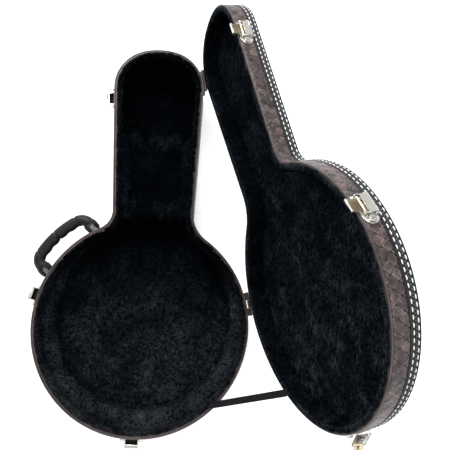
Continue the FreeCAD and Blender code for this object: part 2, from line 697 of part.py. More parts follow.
def polar(radius, angle, height):
    turn = math.radians(angle)
    return Vector(radius * math.cos(turn), radius * math.sin(turn), height)


def build_stay():
    """Webbing strap from the base's wall to the lid's wall, pulled straight by the open lid."""
    drop = size("stay_rim_offset")
    low = polar(size("stay_radius"), size("stay_base_angle"), RIM - drop)
    high = LID_POSE.multVec(polar(size("stay_radius"), size("stay_lid_angle"), RIM + drop))
    run = high - low
    across = UP.cross(run).normalize()
    frame = FreeCAD.Rotation(run, across, run.cross(across), "XYZ")
    corner = ("0", "-(stay_width) / 2", "-(stay_thick) / 2")
    strap = block("stay_strap", corner, ("0", "stay_width", "stay_thick"))
    strap.setExpression("Length", f"{run.Length:.4f}")
    placed("stay_strap", strap, FreeCAD.Placement(low, frame))
    ends = {"base": ("stay_base_angle", -1, FreeCAD.Placement()), "lid": ("stay_lid_angle", 1, LID_POSE)}
    for name, (angle, sign, pose) in ends.items():
        place = pose * on_circle(size("stay_radius"), size(angle), RIM + sign * drop)
        low = "-(tab_thick) - 1" if sign < 0 else "1"
        tab = block(f"stay_tab_{name}", ("-7", "-6", low), ("14", "15.2", "tab_thick"))
        placed(f"stay_tab_{name}", tab, place)


# ---------------------------------------------------------------- build, check and write

build_base_shell()
build_base_lining()
build_lid_shell()
build_lid_lining()
build_ring_pad()
build_neck_block()
build_hinge("body_hinge", 0, "body_radius", "body_radius - hinge_offset")
head_centre = Vector(size("neck_offset") + size("corner_x"), size("corner_y"), 0)
head_out = head_centre.dot(HINGE_NORMAL) + size("corner_radius") - size("hinge_offset")
build_hinge("head_hinge", head_centre.dot(HINGE_LINE), "corner_radius", f"({head_out:.4f})")
build_latches()
build_handle()
build_stay()
DOC.recompute()

for item in DOC.Objects:
    if {"Invalid", "Error"} & set(item.State):
        raise RuntimeError(f"{item.Label} did not recompute: {item.State}")
os.makedirs("parts", exist_ok=True)
for name, item in NODES.items():
    shape = item.Shape
    if shape.isNull() or not shape.isValid() or not shape.Solids:
        raise RuntimeError(f"{name} has no valid solid")
    shape.exportStep(f"parts/{name}.step")
    print(f"{name:24s} solids {len(shape.Solids)}  volume {shape.Volume:12.1f} mm3")
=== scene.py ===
"""Looks for the hard-shell banjo case: embossed covers, stitched edges, plush, plated latches.

Everything is in metres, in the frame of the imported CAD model. Pieces of the lid are drawn with
the lid closed and are then swung open by LID_POSE, as the CAD pieces are.
"""

from math import acos, atan2, copysign, cos, hypot, pi, radians, sin, sqrt, tan

import bmesh
import bpy
import numpy as np
from mathutils import Matrix, Vector, kdtree, noise


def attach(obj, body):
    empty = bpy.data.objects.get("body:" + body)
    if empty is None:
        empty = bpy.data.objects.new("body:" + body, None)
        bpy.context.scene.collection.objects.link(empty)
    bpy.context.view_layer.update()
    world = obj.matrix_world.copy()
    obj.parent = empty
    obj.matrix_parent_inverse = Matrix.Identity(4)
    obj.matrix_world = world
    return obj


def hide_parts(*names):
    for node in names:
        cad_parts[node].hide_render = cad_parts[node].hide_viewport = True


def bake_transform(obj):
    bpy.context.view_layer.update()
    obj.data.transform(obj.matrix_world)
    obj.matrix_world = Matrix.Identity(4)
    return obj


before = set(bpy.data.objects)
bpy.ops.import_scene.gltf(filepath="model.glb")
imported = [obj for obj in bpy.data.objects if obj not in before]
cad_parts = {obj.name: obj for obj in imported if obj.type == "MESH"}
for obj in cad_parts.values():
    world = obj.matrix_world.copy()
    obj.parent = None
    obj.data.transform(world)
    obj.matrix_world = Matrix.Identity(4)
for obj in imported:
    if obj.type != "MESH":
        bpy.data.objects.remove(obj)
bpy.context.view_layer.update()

MM = 0.001
UP = Vector((0, 0, 1))

# ---------------- driving sizes of the shell

BODY_RADIUS, CORNER_RADIUS, TOP_RADIUS = 165 * MM, 64.5 * MM, 103 * MM
CORNER_X, CORNER_Y = 9 * MM, 390 * MM
NECK_OFFSET, NECK_SPLAY = 11 * MM, radians(2.7)
SHOULDER_LEFT, SHOULDER_RIGHT = 31 * MM, 51 * MM
BASE_DEPTH, LID_DEPTH, RIM_GAP = 68 * MM, 35 * MM, 0.3 * MM
TRIM_BAND, TRIM_FLANGE = 13.5 * MM, 12 * MM
BINDING_FLANGE, BINDING_WIDTH = 12.5 * MM, 7.3 * MM
LINING_INNER = 10.5 * MM
FLOOR_TOP = 9 * MM
LID_TOP = BASE_DEPTH + LID_DEPTH
HINGE_TURN, HINGE_OFFSET, LID_OPEN = radians(12.25), 169.5 * MM, radians(106.4)
HINGE_NORMAL = Vector((cos(HINGE_TURN), sin(HINGE_TURN), 0))
HINGE_LINE = Vector((-HINGE_NORMAL.y, HINGE_NORMAL.x, 0))
HINGE_POINT = HINGE_NORMAL * HINGE_OFFSET + UP * BASE_DEPTH
LID_POSE = (
    Matrix.Translation(HINGE_POINT)
    @ Matrix.Rotation(LID_OPEN, 4, HINGE_LINE)
    @ Matrix.Translation(-HINGE_POINT)
)


# ---------------- plan outline

def wall_x(side, y):
    """X of the splayed neck wall at height y; side is +1 for the hinge side and -1 for the other."""
    half = CORNER_X + CORNER_RADIUS / cos(NECK_SPLAY)
    return NECK_OFFSET + side * (half + tan(NECK_SPLAY) * (y - CORNER_Y))


def shoulder_centre(side):
    """Centre of the concave arc that joins the round body to the neck wall."""
    radius = SHOULDER_RIGHT if side > 0 else SHOULDER_LEFT
    beside = side * radius / cos(NECK_SPLAY)
    low, high = 0.06, CORNER_Y
    for _ in range(60):
        middle = (low + high) / 2
        if hypot(wall_x(side, middle) + beside, middle) < BODY_RADIUS + radius:
            low = middle
        else:
            high = middle
    return wall_x(side, low) + beside, low


def outline_arcs():
    """Arcs of the outline, anticlockwise: (centre, radius, start, end, +1 convex or -1 concave)."""
    right, left = shoulder_centre(1), shoulder_centre(-1)
    right_at, left_at = atan2(right[1], right[0]), atan2(left[1], left[0])
    span = TOP_RADIUS - CORNER_RADIUS
    crown_y = CORNER_Y - sqrt(span ** 2 - CORNER_X ** 2)
    lean = acos(CORNER_X / span)
    splay = NECK_SPLAY
    return [
        ((0, 0), BODY_RADIUS, left_at, right_at + 2 * pi, 1),
        (right, SHOULDER_RIGHT, pi + right_at, pi - splay, -1),
        ((NECK_OFFSET + CORNER_X, CORNER_Y), CORNER_RADIUS, -splay, lean, 1),
        ((NECK_OFFSET, crown_y), TOP_RADIUS, lean, pi - lean, 1),
        ((NECK_OFFSET - CORNER_X, CORNER_Y), CORNER_RADIUS, pi - lean, pi + splay, 1),
        (left, SHOULDER_LEFT, splay, left_at - pi, -1),
    ]


def rays(angle):
    return np.array((np.cos(angle), np.sin(angle))).T


def unit(rows):
    return rows / np.linalg.norm(rows, axis=1)[:, None]


def run_round(points):
    """Distance round a closed row of points to each of them, and the whole distance last."""
    steps = np.linalg.norm(np.roll(points, -1, axis=0) - points, axis=1)
    return np.concatenate(([0.0], np.cumsum(steps)))


def outline(step):
    """Points, outward normals and run lengths round the outline, about one step apart."""
    points, normals = [], []
    arcs = outline_arcs()
    for index, (centre, radius, start, end, sign) in enumerate(arcs):
        count = max(2, round(abs(end - start) * radius / step))
        outward = rays(start + (end - start) * np.arange(count) / count)
        points.append(centre + radius * outward)
        normals.append(sign * outward)
        if index in (1, 4):
            next_centre, next_radius, next_start, _, _ = arcs[index + 1]
            first = centre + radius * rays(end)
            last = next_centre + next_radius * rays(next_start)
            count = max(2, round(np.linalg.norm(last - first) / step))
            points.append(first + (last - first) * np.arange(count)[:, None] / count)
            normals.append(np.tile(sign * rays(end), (count, 1)))
    points, normals = np.concatenate(points), np.concatenate(normals)
    return points, normals, run_round(points)


OUTLINE_LENGTH = outline(0.5 * MM)[2][-1]


def in_whole(pitch):
    """The pitch nearest to this one that fits a whole number of times round the outline."""
    return OUTLINE_LENGTH / round(OUTLINE_LENGTH / pitch)


TILE_RUN, TILE_RISE = in_whole(14 * MM), 17 * MM


# ---------------- mesh building

def linked(name, data):
    """A new object in the scene that shows the data."""
    made = bpy.data.objects.new(name, data)
    bpy.context.scene.collection.objects.link(made)
    return made


def make_object(name, verts, faces, look, uvs=None):
    mesh = bpy.data.meshes.new(name)
    mesh.from_pydata([tuple(v) for v in verts], [], faces)
    mesh.polygons.foreach_set("use_smooth", [True] * len(mesh.polygons))
    if uvs is not None:
        layer = mesh.uv_layers.new(name="Surface")
        layer.data.foreach_set("uv", np.asarray(uvs, np.float32).ravel())
    mesh.materials.append(look)
    return linked(name, mesh)


def from_bmesh(name, mesh, look):
    data = bpy.data.meshes.new(name)
    mesh.to_mesh(data)
    mesh.free()
    data.materials.append(look)
    return linked(name, data)


def read(items, key):
    """A vector of every item of a mesh, one per row."""
    values = np.empty(len(items) * 3)
    items.foreach_get(key, values)
    return values.reshape(-1, 3)


def store(piece, name, values):
    """Keep a value per point on the mesh for its material."""
    layer = piece.data.attributes.new(name, "FLOAT", "POINT")
    layer.data.foreach_set("value", np.asarray(values, np.float32).ravel())


def push_out(mesh, spots, normals, depth):
    mesh.vertices.foreach_set("co", (spots + normals * depth[:, None]).ravel())


def baked(piece):
    """Give a piece the smooth-shaded mesh that its modifiers make."""
    graph = bpy.context.evaluated_depsgraph_get()
    made = bpy.data.meshes.new_from_object(piece.evaluated_get(graph))
    piece.modifiers.clear()
    piece.data = made
    made.polygons.foreach_set("use_smooth", [True] * len(made.polygons))
    return made


def remeshed(name, node, look, cell, passes):
    """Piece and mesh of a CAD part's space: even cells, with its corners relaxed."""
    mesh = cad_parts[node].data.copy()
    mesh.materials.clear()
    mesh.materials.append(look)
    piece = linked(name, mesh)
    remesh = piece.modifiers.new("remesh", "REMESH")
    remesh.mode, remesh.voxel_size = "VOXEL", cell
    smooth = piece.modifiers.new("smooth", "SMOOTH")
    smooth.factor, smooth.iterations = 0.5, passes
    return piece, baked(piece)


def tube(stations, rows, base=0):
    """Faces of a capped tube: rows points round each station, numbered from base."""
    faces = []
    for low in range(base, base + (stations - 1) * rows, rows):
        for r in range(rows):
            q = (r + 1) % rows
            faces.append((low + r, low + q, low + rows + q, low + rows + r))
    faces.append(tuple(base + r for r in range(rows - 1, -1, -1)))
    faces.append(tuple(base + (stations - 1) * rows + r for r in range(rows)))
    return faces


def settle(piece, body, slot, *replaced, drawn_open=False):
    """Swing a lid piece open unless it is drawn so, ride the body, and hide the CAD parts that it replaces;
    slot is not used.
    """
    if body == "lid" and not drawn_open:
        piece.data.transform(LID_POSE)
    piece.data.update()
    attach(piece, body)
    if replaced:
        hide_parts(*replaced)


def sweep(name, section, step, look, relief=None):
    """Closed section of (inset, height) rows carried round the outline.

    relief(run, row) gives how far each point stands out, for arrays of run length and row.
    The surface map holds run length and distance round the section, in metres.
    """
    points, normals, run = outline(step)
    section = np.array(section)
    count, rows = len(points), len(section)
    inset, height = (np.tile(section[:, k], (count, 1)) for k in (0, 1))
    if relief is not None:
        inset = inset - relief(run[:-1, None], np.arange(rows)[None, :])
    flat = points[:, None, :] - normals[:, None, :] * inset[..., None]
    verts = np.dstack((flat, height)).reshape(-1, 3)
    reach = run_round(section)
    i, j = np.meshgrid(np.arange(count), np.arange(rows), indexing="ij")
    i, j = i.ravel(), j.ravel()
    after, above = (i + 1) % count, (j + 1) % rows
    faces = np.stack((i * rows + j, after * rows + j, after * rows + above, i * rows + above), axis=1)
    uvs = np.stack(
        [run[i], reach[j], run[i + 1], reach[j], run[i + 1], reach[j + 1], run[i], reach[j + 1]], axis=1)
    return make_object(name, verts, faces.tolist(), look, uvs=uvs)


def weave(first, second):
    """Relief from 0 to 1 of a basket weave whose ribbons run diagonally, and a shade per ribbon."""
    p = first / TILE_RUN + second / TILE_RISE
    q = first / TILE_RUN - second / TILE_RISE
    in_p, in_q = p % 1, q % 1
    over = (np.floor(p) + np.floor(q)) % 2 < 0.5
    across = np.where(over, in_q, in_p)
    along = np.where(over, in_p, in_q)
    crown = 1 - np.abs(2 * across - 1) ** 6
    dive = 0.2 + 0.8 * np.clip(1.25 - np.abs(2 * along - 1) ** 5 * 1.25, 0, 1)
    jumble = np.sin(np.floor(p) * 12.9898 + np.floor(q) * 78.233) * 43758.5453
    return crown * dive, jumble % 1


def plan_grid(inset, cell):
    """Square grid cut to the outline at an inset, with its border points moved onto it.

    Gives the points and faces.
    """
    points, normals, _ = outline(1.5 * MM)
    tree = kdtree.KDTree(len(points))
    for index, (x, y) in enumerate(points):
        tree.insert((x, y, 0), index)
    tree.balance()
    low, high = points.min(axis=0), points.max(axis=0)
    xs = np.arange(low[0], high[0] + cell, cell)
    ys = np.arange(low[1], high[1] + cell, cell)
    grid = np.stack(np.meshgrid(xs, ys, indexing="ij"), axis=2)
    flat = grid.reshape(-1, 2)
    nearest = np.array([tree.find((x, y, 0))[1] for x, y in flat])
    depth = np.einsum("ij,ij->i", points[nearest] - flat, normals[nearest])
    shift = np.where(np.abs(depth - inset) < 0.75 * cell, depth - inset, 0)
    inside = (depth - inset > -0.75 * cell).reshape(grid.shape[:2])
    flat = flat + normals[nearest] * shift[:, None]
    rows = grid.shape[1]
    i, j = np.nonzero(inside[:-1, :-1] & inside[1:, :-1] & inside[1:, 1:] & inside[:-1, 1:])
    corner = i * rows + j
    corners = np.stack((corner, corner + rows, corner + rows + 1, corner + 1), axis=1)
    used, renumbered = np.unique(corners, return_inverse=True)
    return flat[used], renumbered.reshape(-1, 4)


def slab(name, inset, cell, level, thickness, look, relief):
    """Closed slab over the outline: a fine relief on the upper face, a plain lower face.

    A negative thickness puts the relief on the lower face.
    """
    flat, faces = plan_grid(inset, cell)
    height = level + copysign(1, thickness) * relief(flat)
    mesh = bmesh.new()
    for (x, y), z in zip(flat, height):
        mesh.verts.new((x, y, z))
    mesh.verts.ensure_lookup_table()
    order = 1 if thickness > 0 else -1
    for face in faces:
        mesh.faces.new([mesh.verts[i] for i in face[::order]])
    border = [edge for edge in mesh.edges if edge.is_boundary]
    made = bmesh.ops.extrude_edge_only(mesh, edges=border)["geom"]
    for item in made:
        if isinstance(item, bmesh.types.BMVert):
            item.co.z = level - thickness
    rim = [item for item in made if isinstance(item, bmesh.types.BMEdge) and item.is_boundary]
    bmesh.ops.holes_fill(mesh, edges=rim, sides=0)
    bmesh.ops.recalc_face_normals(mesh, faces=mesh.faces)
    for face in mesh.faces:
        face.smooth = len(face.verts) == 4
    return from_bmesh(name, mesh, look)


# ---------------- materials

class Look:
    """A material: a Principled shader with constants on its sockets, and nodes for what varies."""

    def __init__(self, name, **values):
        self.material = bpy.data.materials.new(name)
        self.material.use_nodes = True
        self.tree = self.material.node_tree
        self.shader = self.tree.nodes["Principled BSDF"]
        for socket, value in values.items():
            self.shader.inputs[socket.replace("_", " ")].default_value = value

    def node(self, kind, inputs=(), **settings):
        made = self.tree.nodes.new(f"ShaderNode{kind}")
        for key, value in settings.items():
            setattr(made, key, value)
        for key, value in dict(inputs).items():
            if isinstance(value, bpy.types.NodeSocket):
                self.tree.links.new(value, made.inputs[key])
            else:
                made.inputs[key].default_value = value
        return made

    def place(self, kind="Object", stretch=(1, 1, 1)):
        """Coordinates in metres; kind is Object, or UV for the run and rise of a swept band."""
        source = self.node("TexCoord").outputs[kind]
        return self.node("Mapping", {"Vector": source, "Scale": stretch}).outputs[0]

    def noise(self, scale, detail=4.0, where=None):
        inputs = {"Vector": where or self.place(), "Scale": scale, "Detail": detail, "Roughness": 0.55}
        return self.node("TexNoise", inputs).outputs[0]

    def cells(self, scale):
        return self.node("TexVoronoi", {"Vector": self.place(), "Scale": scale}).outputs["Distance"]

    def times(self, first, second):
        return self.node("Math", {0: first, 1: second}, operation="MULTIPLY").outputs[0]

    def span(self, value, low, high, to_low=0.0, to_high=1.0):
        inputs = {"Value": value, "From Min": low, "From Max": high, "To Min": to_low, "To Max": to_high}
        return self.node("MapRange", inputs).outputs[0]

    def ramp(self, value, *stops):
        """Colour ramp; each stop is (position, colour)."""
        made = self.node("ValToRGB", {"Fac": value})
        band = made.color_ramp
        while len(band.elements) < len(stops):
            band.elements.new(0.5)
        for element, (position, colour) in zip(band.elements, stops):
            element.position = position
            element.color = (*colour, 1)
        return made.outputs[0]

    def tint(self, value, *stops):
        self.paint("Base Color", self.ramp(value, *stops))

    def blend(self, factor, first, second):
        return self.node("Mix", {0: factor, 6: first, 7: second}, data_type="RGBA").outputs[2]

    def paint(self, socket, value):
        self.tree.links.new(value, self.shader.inputs[socket])

    def bump(self, *layers):
        """Stacked bumps; each layer is (height, strength, distance in metres)."""
        below = {}
        for height, strength, distance in layers:
            inputs = {"Height": height, "Strength": strength, "Distance": distance, **below}
            below = {"Normal": self.node("Bump", inputs).outputs[0]}
        self.paint("Normal", below["Normal"])


def stored(look, name):
    """A value per point that is kept on the mesh."""
    return look.node("Attribute", attribute_name=name).outputs["Fac"]


def leatherette():
    look = Look("embossed_leatherette", Specular_IOR_Level=0.4)
    height, tile = stored(look, "raised"), stored(look, "tile")
    # Painted shade makes the grooves near black; the tile edges are lighter than the tile tops.
    groove_shade_light_edges = look.ramp(height, (0.05, (0.003, 0.002, 0.002)), (0.45, (0.014, 0.009, 0.009)),
                     (0.7, (0.105, 0.077, 0.075)), (0.97, (0.058, 0.040, 0.038)))
    mottle = look.span(look.noise(110, 5), 0.40, 0.62, 0.45, 1.4)
    # Random brightness per tile is painted reflection, some tiles painted lighter as if they caught more
    # light; the mottle is random tone.
    shade = look.times(mottle, look.span(tile, 0, 1, 0.5, 1.6))
    shaded = look.node("VectorMath", {0: groove_shade_light_edges, 3: shade}, operation="SCALE").outputs[0]
    # Painted glints: sparse pale spots blended over the colour.
    painted_glints = look.span(look.noise(210, 3), 0.61, 0.70, 0, 0.7)
    look.paint("Base Color", look.blend(painted_glints, shaded, (0.20, 0.165, 0.165, 1)))
    rough = look.span(look.noise(150, 3), 0.3, 0.75, 0.26, 0.62)
    look.paint("Roughness", look.times(rough, look.span(tile, 0, 1, 0.75, 1.2)))
    look.bump((look.cells(1150), 0.4, 0.0003), (look.noise(260, 3), 0.6, 0.0009))
    return look.material


def binding_vinyl():
    look = Look("rim_binding")
    shade = look.noise(55, 4)
    groove = stored(look, "seam")
    vinyl = look.ramp(shade, (0.3, (0.032, 0.020, 0.020)), (0.75, (0.105, 0.076, 0.076)))
    look.paint("Base Color", look.blend(groove, vinyl, (0.006, 0.004, 0.004, 1)))
    look.paint("Roughness", look.span(look.noise(220, 2), 0.3, 0.7, 0.28, 0.5))
    look.bump((look.cells(900), 0.25, 0.0002))
    return look.material


def trim_vinyl():
    look = Look("edge_trim", Specular_IOR_Level=0.35)
    along = look.place("UV")
    wear = look.noise(120, 4, along)
    look.tint(wear, (0.35, (0.003, 0.003, 0.0035)), (0.8, (0.012, 0.0125, 0.014)))
    look.paint("Roughness", look.span(look.noise(300, 2), 0.3, 0.7, 0.42, 0.68))
    look.bump((look.cells(1000), 0.3, 0.0002))
    return look.material


def ribbed_tape():
    look = Look("ribbed_tape", Roughness=0.7, Specular_IOR_Level=0.3)
    threads = look.noise(900, 2, look.place("UV"))
    shade = look.ramp(threads, (0.3, (0.040, 0.048, 0.056)), (0.7, (0.085, 0.098, 0.110)))
    # Painted shade: the tape is near black between the ribs and keeps its thread colour on the rib crowns.
    look.paint("Base Color", look.blend(stored(look, "raised"), (0.004, 0.005, 0.006, 1), shade))
    look.bump((threads, 0.5, 0.0002))
    return look.material


def plush():
    """Ground of the pile: almost black navy, with cloudy patches and a broken surface."""
    look = Look("plush", Roughness=1.0, Specular_IOR_Level=0.0)
    drift = look.span(look.noise(24, 4), 0.38, 0.66, 0.5, 1.3)
    broken = look.times(drift, look.span(look.noise(260, 4), 0.4, 0.7, 0.2, 1.6))
    # The ground's brightness is scaled by the painted light and shade kept on the mesh.
    level = look.times(look.times(broken, stored(look, "painted_light")), 0.25)
    look.tint(level, (0.0, (0.0002, 0.0005, 0.0011)), (0.25, (0.0052, 0.0074, 0.0098)),
              (1.0, (0.026, 0.030, 0.034)))
    look.bump((look.noise(800, 3), 0.9, 0.0014))
    return look.material


def plush_pile():
    """Hairs of the pile: each has its own shade, bluish grey at the lightest."""
    look = Look("plush_pile", Roughness=0.9, Specular_IOR_Level=0.0)
    drift = look.span(look.noise(24, 4), 0.38, 0.66, 0.4, 1.2)
    # Each hair's own shade is scaled by the painted light and shade kept on the mesh.
    own = look.times(stored(look, "shade"), stored(look, "painted_light"))
    level = look.times(look.times(own, drift), 0.25)
    look.tint(level, (0.0, (0.0004, 0.0008, 0.0015)), (0.12, (0.0110, 0.0150, 0.0195)),
              (0.4, (0.055, 0.064, 0.072)), (1.0, (0.130, 0.138, 0.148)))
    look.bump((look.noise(1500, 2), 0.4, 0.0002))
    return look.material


def nickel(name, tint, rough_low, rough_high):
    look = Look(name, Metallic=1.0)
    breath = look.noise(60, 3)
    look.tint(breath, (0.3, tuple(c * 0.9 for c in tint)), (0.75, tint))
    brushed = look.noise(260, 2, look.place(stretch=(1, 1, 0.2)))
    look.paint("Roughness", look.span(brushed, 0.3, 0.7, rough_low, rough_high))
    look.bump((brushed, 0.03, 0.0001))
    return look.material


def moulded(name, dark, light, rough_low, rough_high):
    look = Look(name, Specular_IOR_Level=0.3)
    mottle = look.noise(70, 5)
    look.tint(mottle, (0.3, dark), (0.75, light))
    look.paint("Roughness", look.span(look.noise(240, 3), 0.3, 0.7, rough_low, rough_high))
    look.bump((look.noise(1300, 2), 0.25, 0.0002))
    return look.material


def grained(name, scale, detail, dark, light, strength, depth, top=0.75, stretch=(1, 1, 1), **values):
    """A material whose colour and relief both follow one grain; top is where the grain is lightest."""
    look = Look(name, **values)
    grain = look.noise(scale, detail, look.place(stretch=stretch))
    look.tint(grain, (0.3, dark), (top, light))
    look.bump((grain, strength, depth))
    return look.material


LEATHERETTE = leatherette()
BINDING = binding_vinyl()
TRIM = trim_vinyl()
TAPE = ribbed_tape()
PLUSH = plush()
PILE = plush_pile()
THREAD = grained("stitch_thread", 1400, 2, (0.80, 0.79, 0.76), (0.95, 0.95, 0.93), 0.4, 0.0002, 0.7,
                 Roughness=0.55, Sheen_Weight=0.2)
NICKEL = nickel("nickel", (0.74, 0.73, 0.69), 0.12, 0.22)
WARM_NICKEL = nickel("warm_nickel", (0.70, 0.60, 0.38), 0.18, 0.30)
TARNISH = nickel("tarnished_nickel", (0.22, 0.18, 0.12), 0.2, 0.34)
# The hinges are painted almost black as the shadow between base and lid.
HINGE_SHADE = nickel("hinge_nickel", (0.07, 0.065, 0.06), 0.35, 0.55)
STEEL = nickel("steel", (0.50, 0.50, 0.50), 0.25, 0.40)
KEY_PLUG = nickel("key_plug", (0.66, 0.62, 0.54), 0.20, 0.34)
GRIP = moulded("grip_moulding", (0.0022, 0.0030, 0.0042), (0.0065, 0.0085, 0.0110), 0.42, 0.6)
BRACKET = moulded("handle_bracket", (0.10, 0.105, 0.108), (0.20, 0.205, 0.21), 0.3, 0.5)
PLYWOOD = grained("plywood", 60, 5, (0.36, 0.24, 0.13), (0.55, 0.40, 0.24), 0.3, 0.0003,
                  stretch=(1, 0.12, 4), Roughness=0.65)
BOARD = grained("backing_board", 320, 4, (0.30, 0.27, 0.25), (0.52, 0.48, 0.45), 0.4, 0.0003, Roughness=0.6)
WEBBING = grained("webbing", 700, 2, (0.004, 0.0045, 0.005), (0.013, 0.014, 0.016), 0.5, 0.0003,
                  Roughness=0.85, Specular_IOR_Level=0.15)
# Black painted as shade, inside the keepers' boxes and on the strap's tabs.
SHADE_BLACK = moulded("painted_shade_black", (0.002, 0.002, 0.0025), (0.006, 0.006, 0.007), 0.5, 0.7)


# ---------------- shell: covers, trims, bindings

# Sections give heights in from the corner or out past the rim, and are turned over for the lid.
BODIES = {"base": "root", "lid": "lid"}
FROM_CORNER = {"base": lambda height: height, "lid": lambda height: LID_TOP - height}
FROM_RIM = {
    "base": lambda height: BASE_DEPTH - RIM_GAP + height,
    "lid": lambda height: BASE_DEPTH + RIM_GAP - height,
}
WEAVE_DEPTH, FLAT_WEAVE_DEPTH, RIB_DEPTH = 0.75 * MM, 0.5 * MM, 0.5 * MM
STITCH_PITCH, STITCH_LENGTH, STITCH_RADIUS = in_whole(7.6 * MM), 5.0 * MM, 0.72 * MM
STITCH_INSET, STITCH_HEIGHTS = -0.2 * MM, (9.25 * MM, 3.35 * MM)


def side_cover(half, low, high):
    """Leatherette round the side wall with a pressed basket weave."""
    cell = 1.3 * MM
    rows = round((high - low) / cell)
    heights = np.linspace(low, high, rows)
    section = [(0.25 * MM, z) for z in heights] + [(0.9 * MM, high), (0.9 * MM, low)]

    def height_of(row):
        return np.interp(row, np.arange(rows), heights)

    def emboss(run, row):
        height = height_of(row)
        fade = np.clip(np.minimum(height - low, high - height) / (1.5 * MM), 0, 1)
        return WEAVE_DEPTH * fade * weave(run, height)[0] * (row < rows)

    piece = sweep(f"{half}_side_weave", section, cell, LEATHERETTE, emboss)
    run = outline(cell)[2][:-1, None]
    row = np.arange(len(section))[None, :]
    store(piece, "raised", emboss(run, row) / WEAVE_DEPTH)
    store(piece, "tile", weave(run, height_of(row))[1])
    settle(piece, BODIES[half], "woven_leatherette", f"{half}_side_cover")


def flat_cover(half, panel, level, thickness):
    """Leatherette on the back or the lid's top, with the same pressed weave."""
    def emboss(flat):
        return FLAT_WEAVE_DEPTH * (weave(flat[:, 0], flat[:, 1])[0] - 1)

    inset, cell = TRIM_FLANGE - 1.5 * MM, 1.7 * MM
    piece = slab(f"{half}_{panel}_weave", inset, cell, level, thickness, LEATHERETTE, emboss)
    spots = read(piece.data.vertices, "co")
    store(piece, "raised", np.clip(1 - np.abs(spots[:, 2] - level) / FLAT_WEAVE_DEPTH, 0, 1))
    store(piece, "tile", weave(spots[:, 0], spots[:, 1])[1])
    settle(piece, BODIES[half], "woven_leatherette", f"{half}_{panel}_cover")


def rounded(points, radius, steps):
    """Closed section in metres, its corners eased with short curves; points and radius in millimetres."""
    points = np.array(points)
    out = []
    for index, point in enumerate(points):
        ways = points[index - 1] - point, points[(index + 1) % len(points)] - point
        start, end = (point + way * min(radius / np.linalg.norm(way), 0.45) for way in ways)
        for t in np.linspace(0, 1, steps + 1):
            out.append(((1 - t) ** 2 * start + 2 * t * (1 - t) * point + t ** 2 * end) * MM)
    return out


def edge_trim(half):
    """Vinyl edge that wraps the corner: a side band with two stitch channels, and a face flange."""
    flange, width, proud = TRIM_FLANGE / MM, TRIM_BAND / MM, -0.7
    band = [
        (flange, 0), (flange, 0.6), (2, 1), (0.8, width), (proud, width), (proud, 10.4), (-0.2, 9.9),
        (-0.2, 8.6), (-0.6, 8.2), (-0.6, 4.4), (-0.2, 4.0), (-0.2, 2.7), (proud, 2.2), (proud, 0),
    ]
    section = [(inset, FROM_CORNER[half](height)) for inset, height in rounded(band, 0.9, 3)]
    piece = sweep(f"{half}_trim_vinyl", section, 2.5 * MM, TRIM)
    settle(piece, BODIES[half], "edge_trim", f"{half}_edge_trim")


def ribbed_strip(half):
    """Tape between the stitch rows, with a rib across it at half the stitch pitch."""
    rows, step = 7, 0.9 * MM
    heights = FROM_CORNER[half](np.linspace(4.5 * MM, 8.1 * MM, rows))
    section = [(-0.62 * MM, z) for z in heights] + [(-0.2 * MM, heights[-1]), (-0.2 * MM, heights[0])]

    def ribs(run, row):
        wave = np.cos(run / (STITCH_PITCH / 2) * 2 * pi)
        edge = np.sin(pi * np.clip(row / (rows - 1), 0, 1)) ** 0.5
        return RIB_DEPTH * edge * np.clip(0.5 - wave, 0, 1) * (row < rows)

    piece = sweep(f"{half}_trim_tape", section, step, TAPE, ribs)
    run = outline(step)[2][:-1, None]
    store(piece, "raised", ribs(run, np.arange(len(section))[None, :]) / RIB_DEPTH)
    settle(piece, BODIES[half], "edge_trim")


def at_run(values, run, wanted):
    """Value of an outline array at a run length."""
    wrapped = np.concatenate((values, values[:1]))
    return np.stack([np.interp(wanted, run, wrapped[:, k]) for k in range(values.shape[1])], axis=-1)


def stitches(half):
    """Stitches as short plump threads whose ends dip into their holes."""
    points, normals, run = outline(1 * MM)
    around, stations = 8, 7
    verts, faces = [], []
    for row_index, height in enumerate(STITCH_HEIGHTS):
        for k in range(round(OUTLINE_LENGTH / STITCH_PITCH)):
            middle = (k + 0.5 * row_index + 0.25) * STITCH_PITCH
            spots = (middle + np.linspace(-0.5, 0.5, stations) * STITCH_LENGTH) % OUTLINE_LENGTH
            spine, outward = at_run(points, run, spots), at_run(normals, run, spots)
            bow = 1 - (2 * np.linspace(0, 1, stations) - 1) ** 4
            faces += tube(stations, around, len(verts))
            for spot, out, lift in zip(spine, outward, bow):
                size = STITCH_RADIUS * (0.25 + 0.75 * lift ** 0.5)
                centre = spot - out * (STITCH_INSET - 0.35 * MM * lift)
                for a in np.arange(around) * 2 * pi / around:
                    flat = centre + out * (cos(a) * size * 0.8)
                    verts.append((flat[0], flat[1], FROM_CORNER[half](height) + sin(a) * size))
    settle(make_object(f"{half}_trim_stitches", verts, faces, THREAD), BODIES[half], "edge_trim")


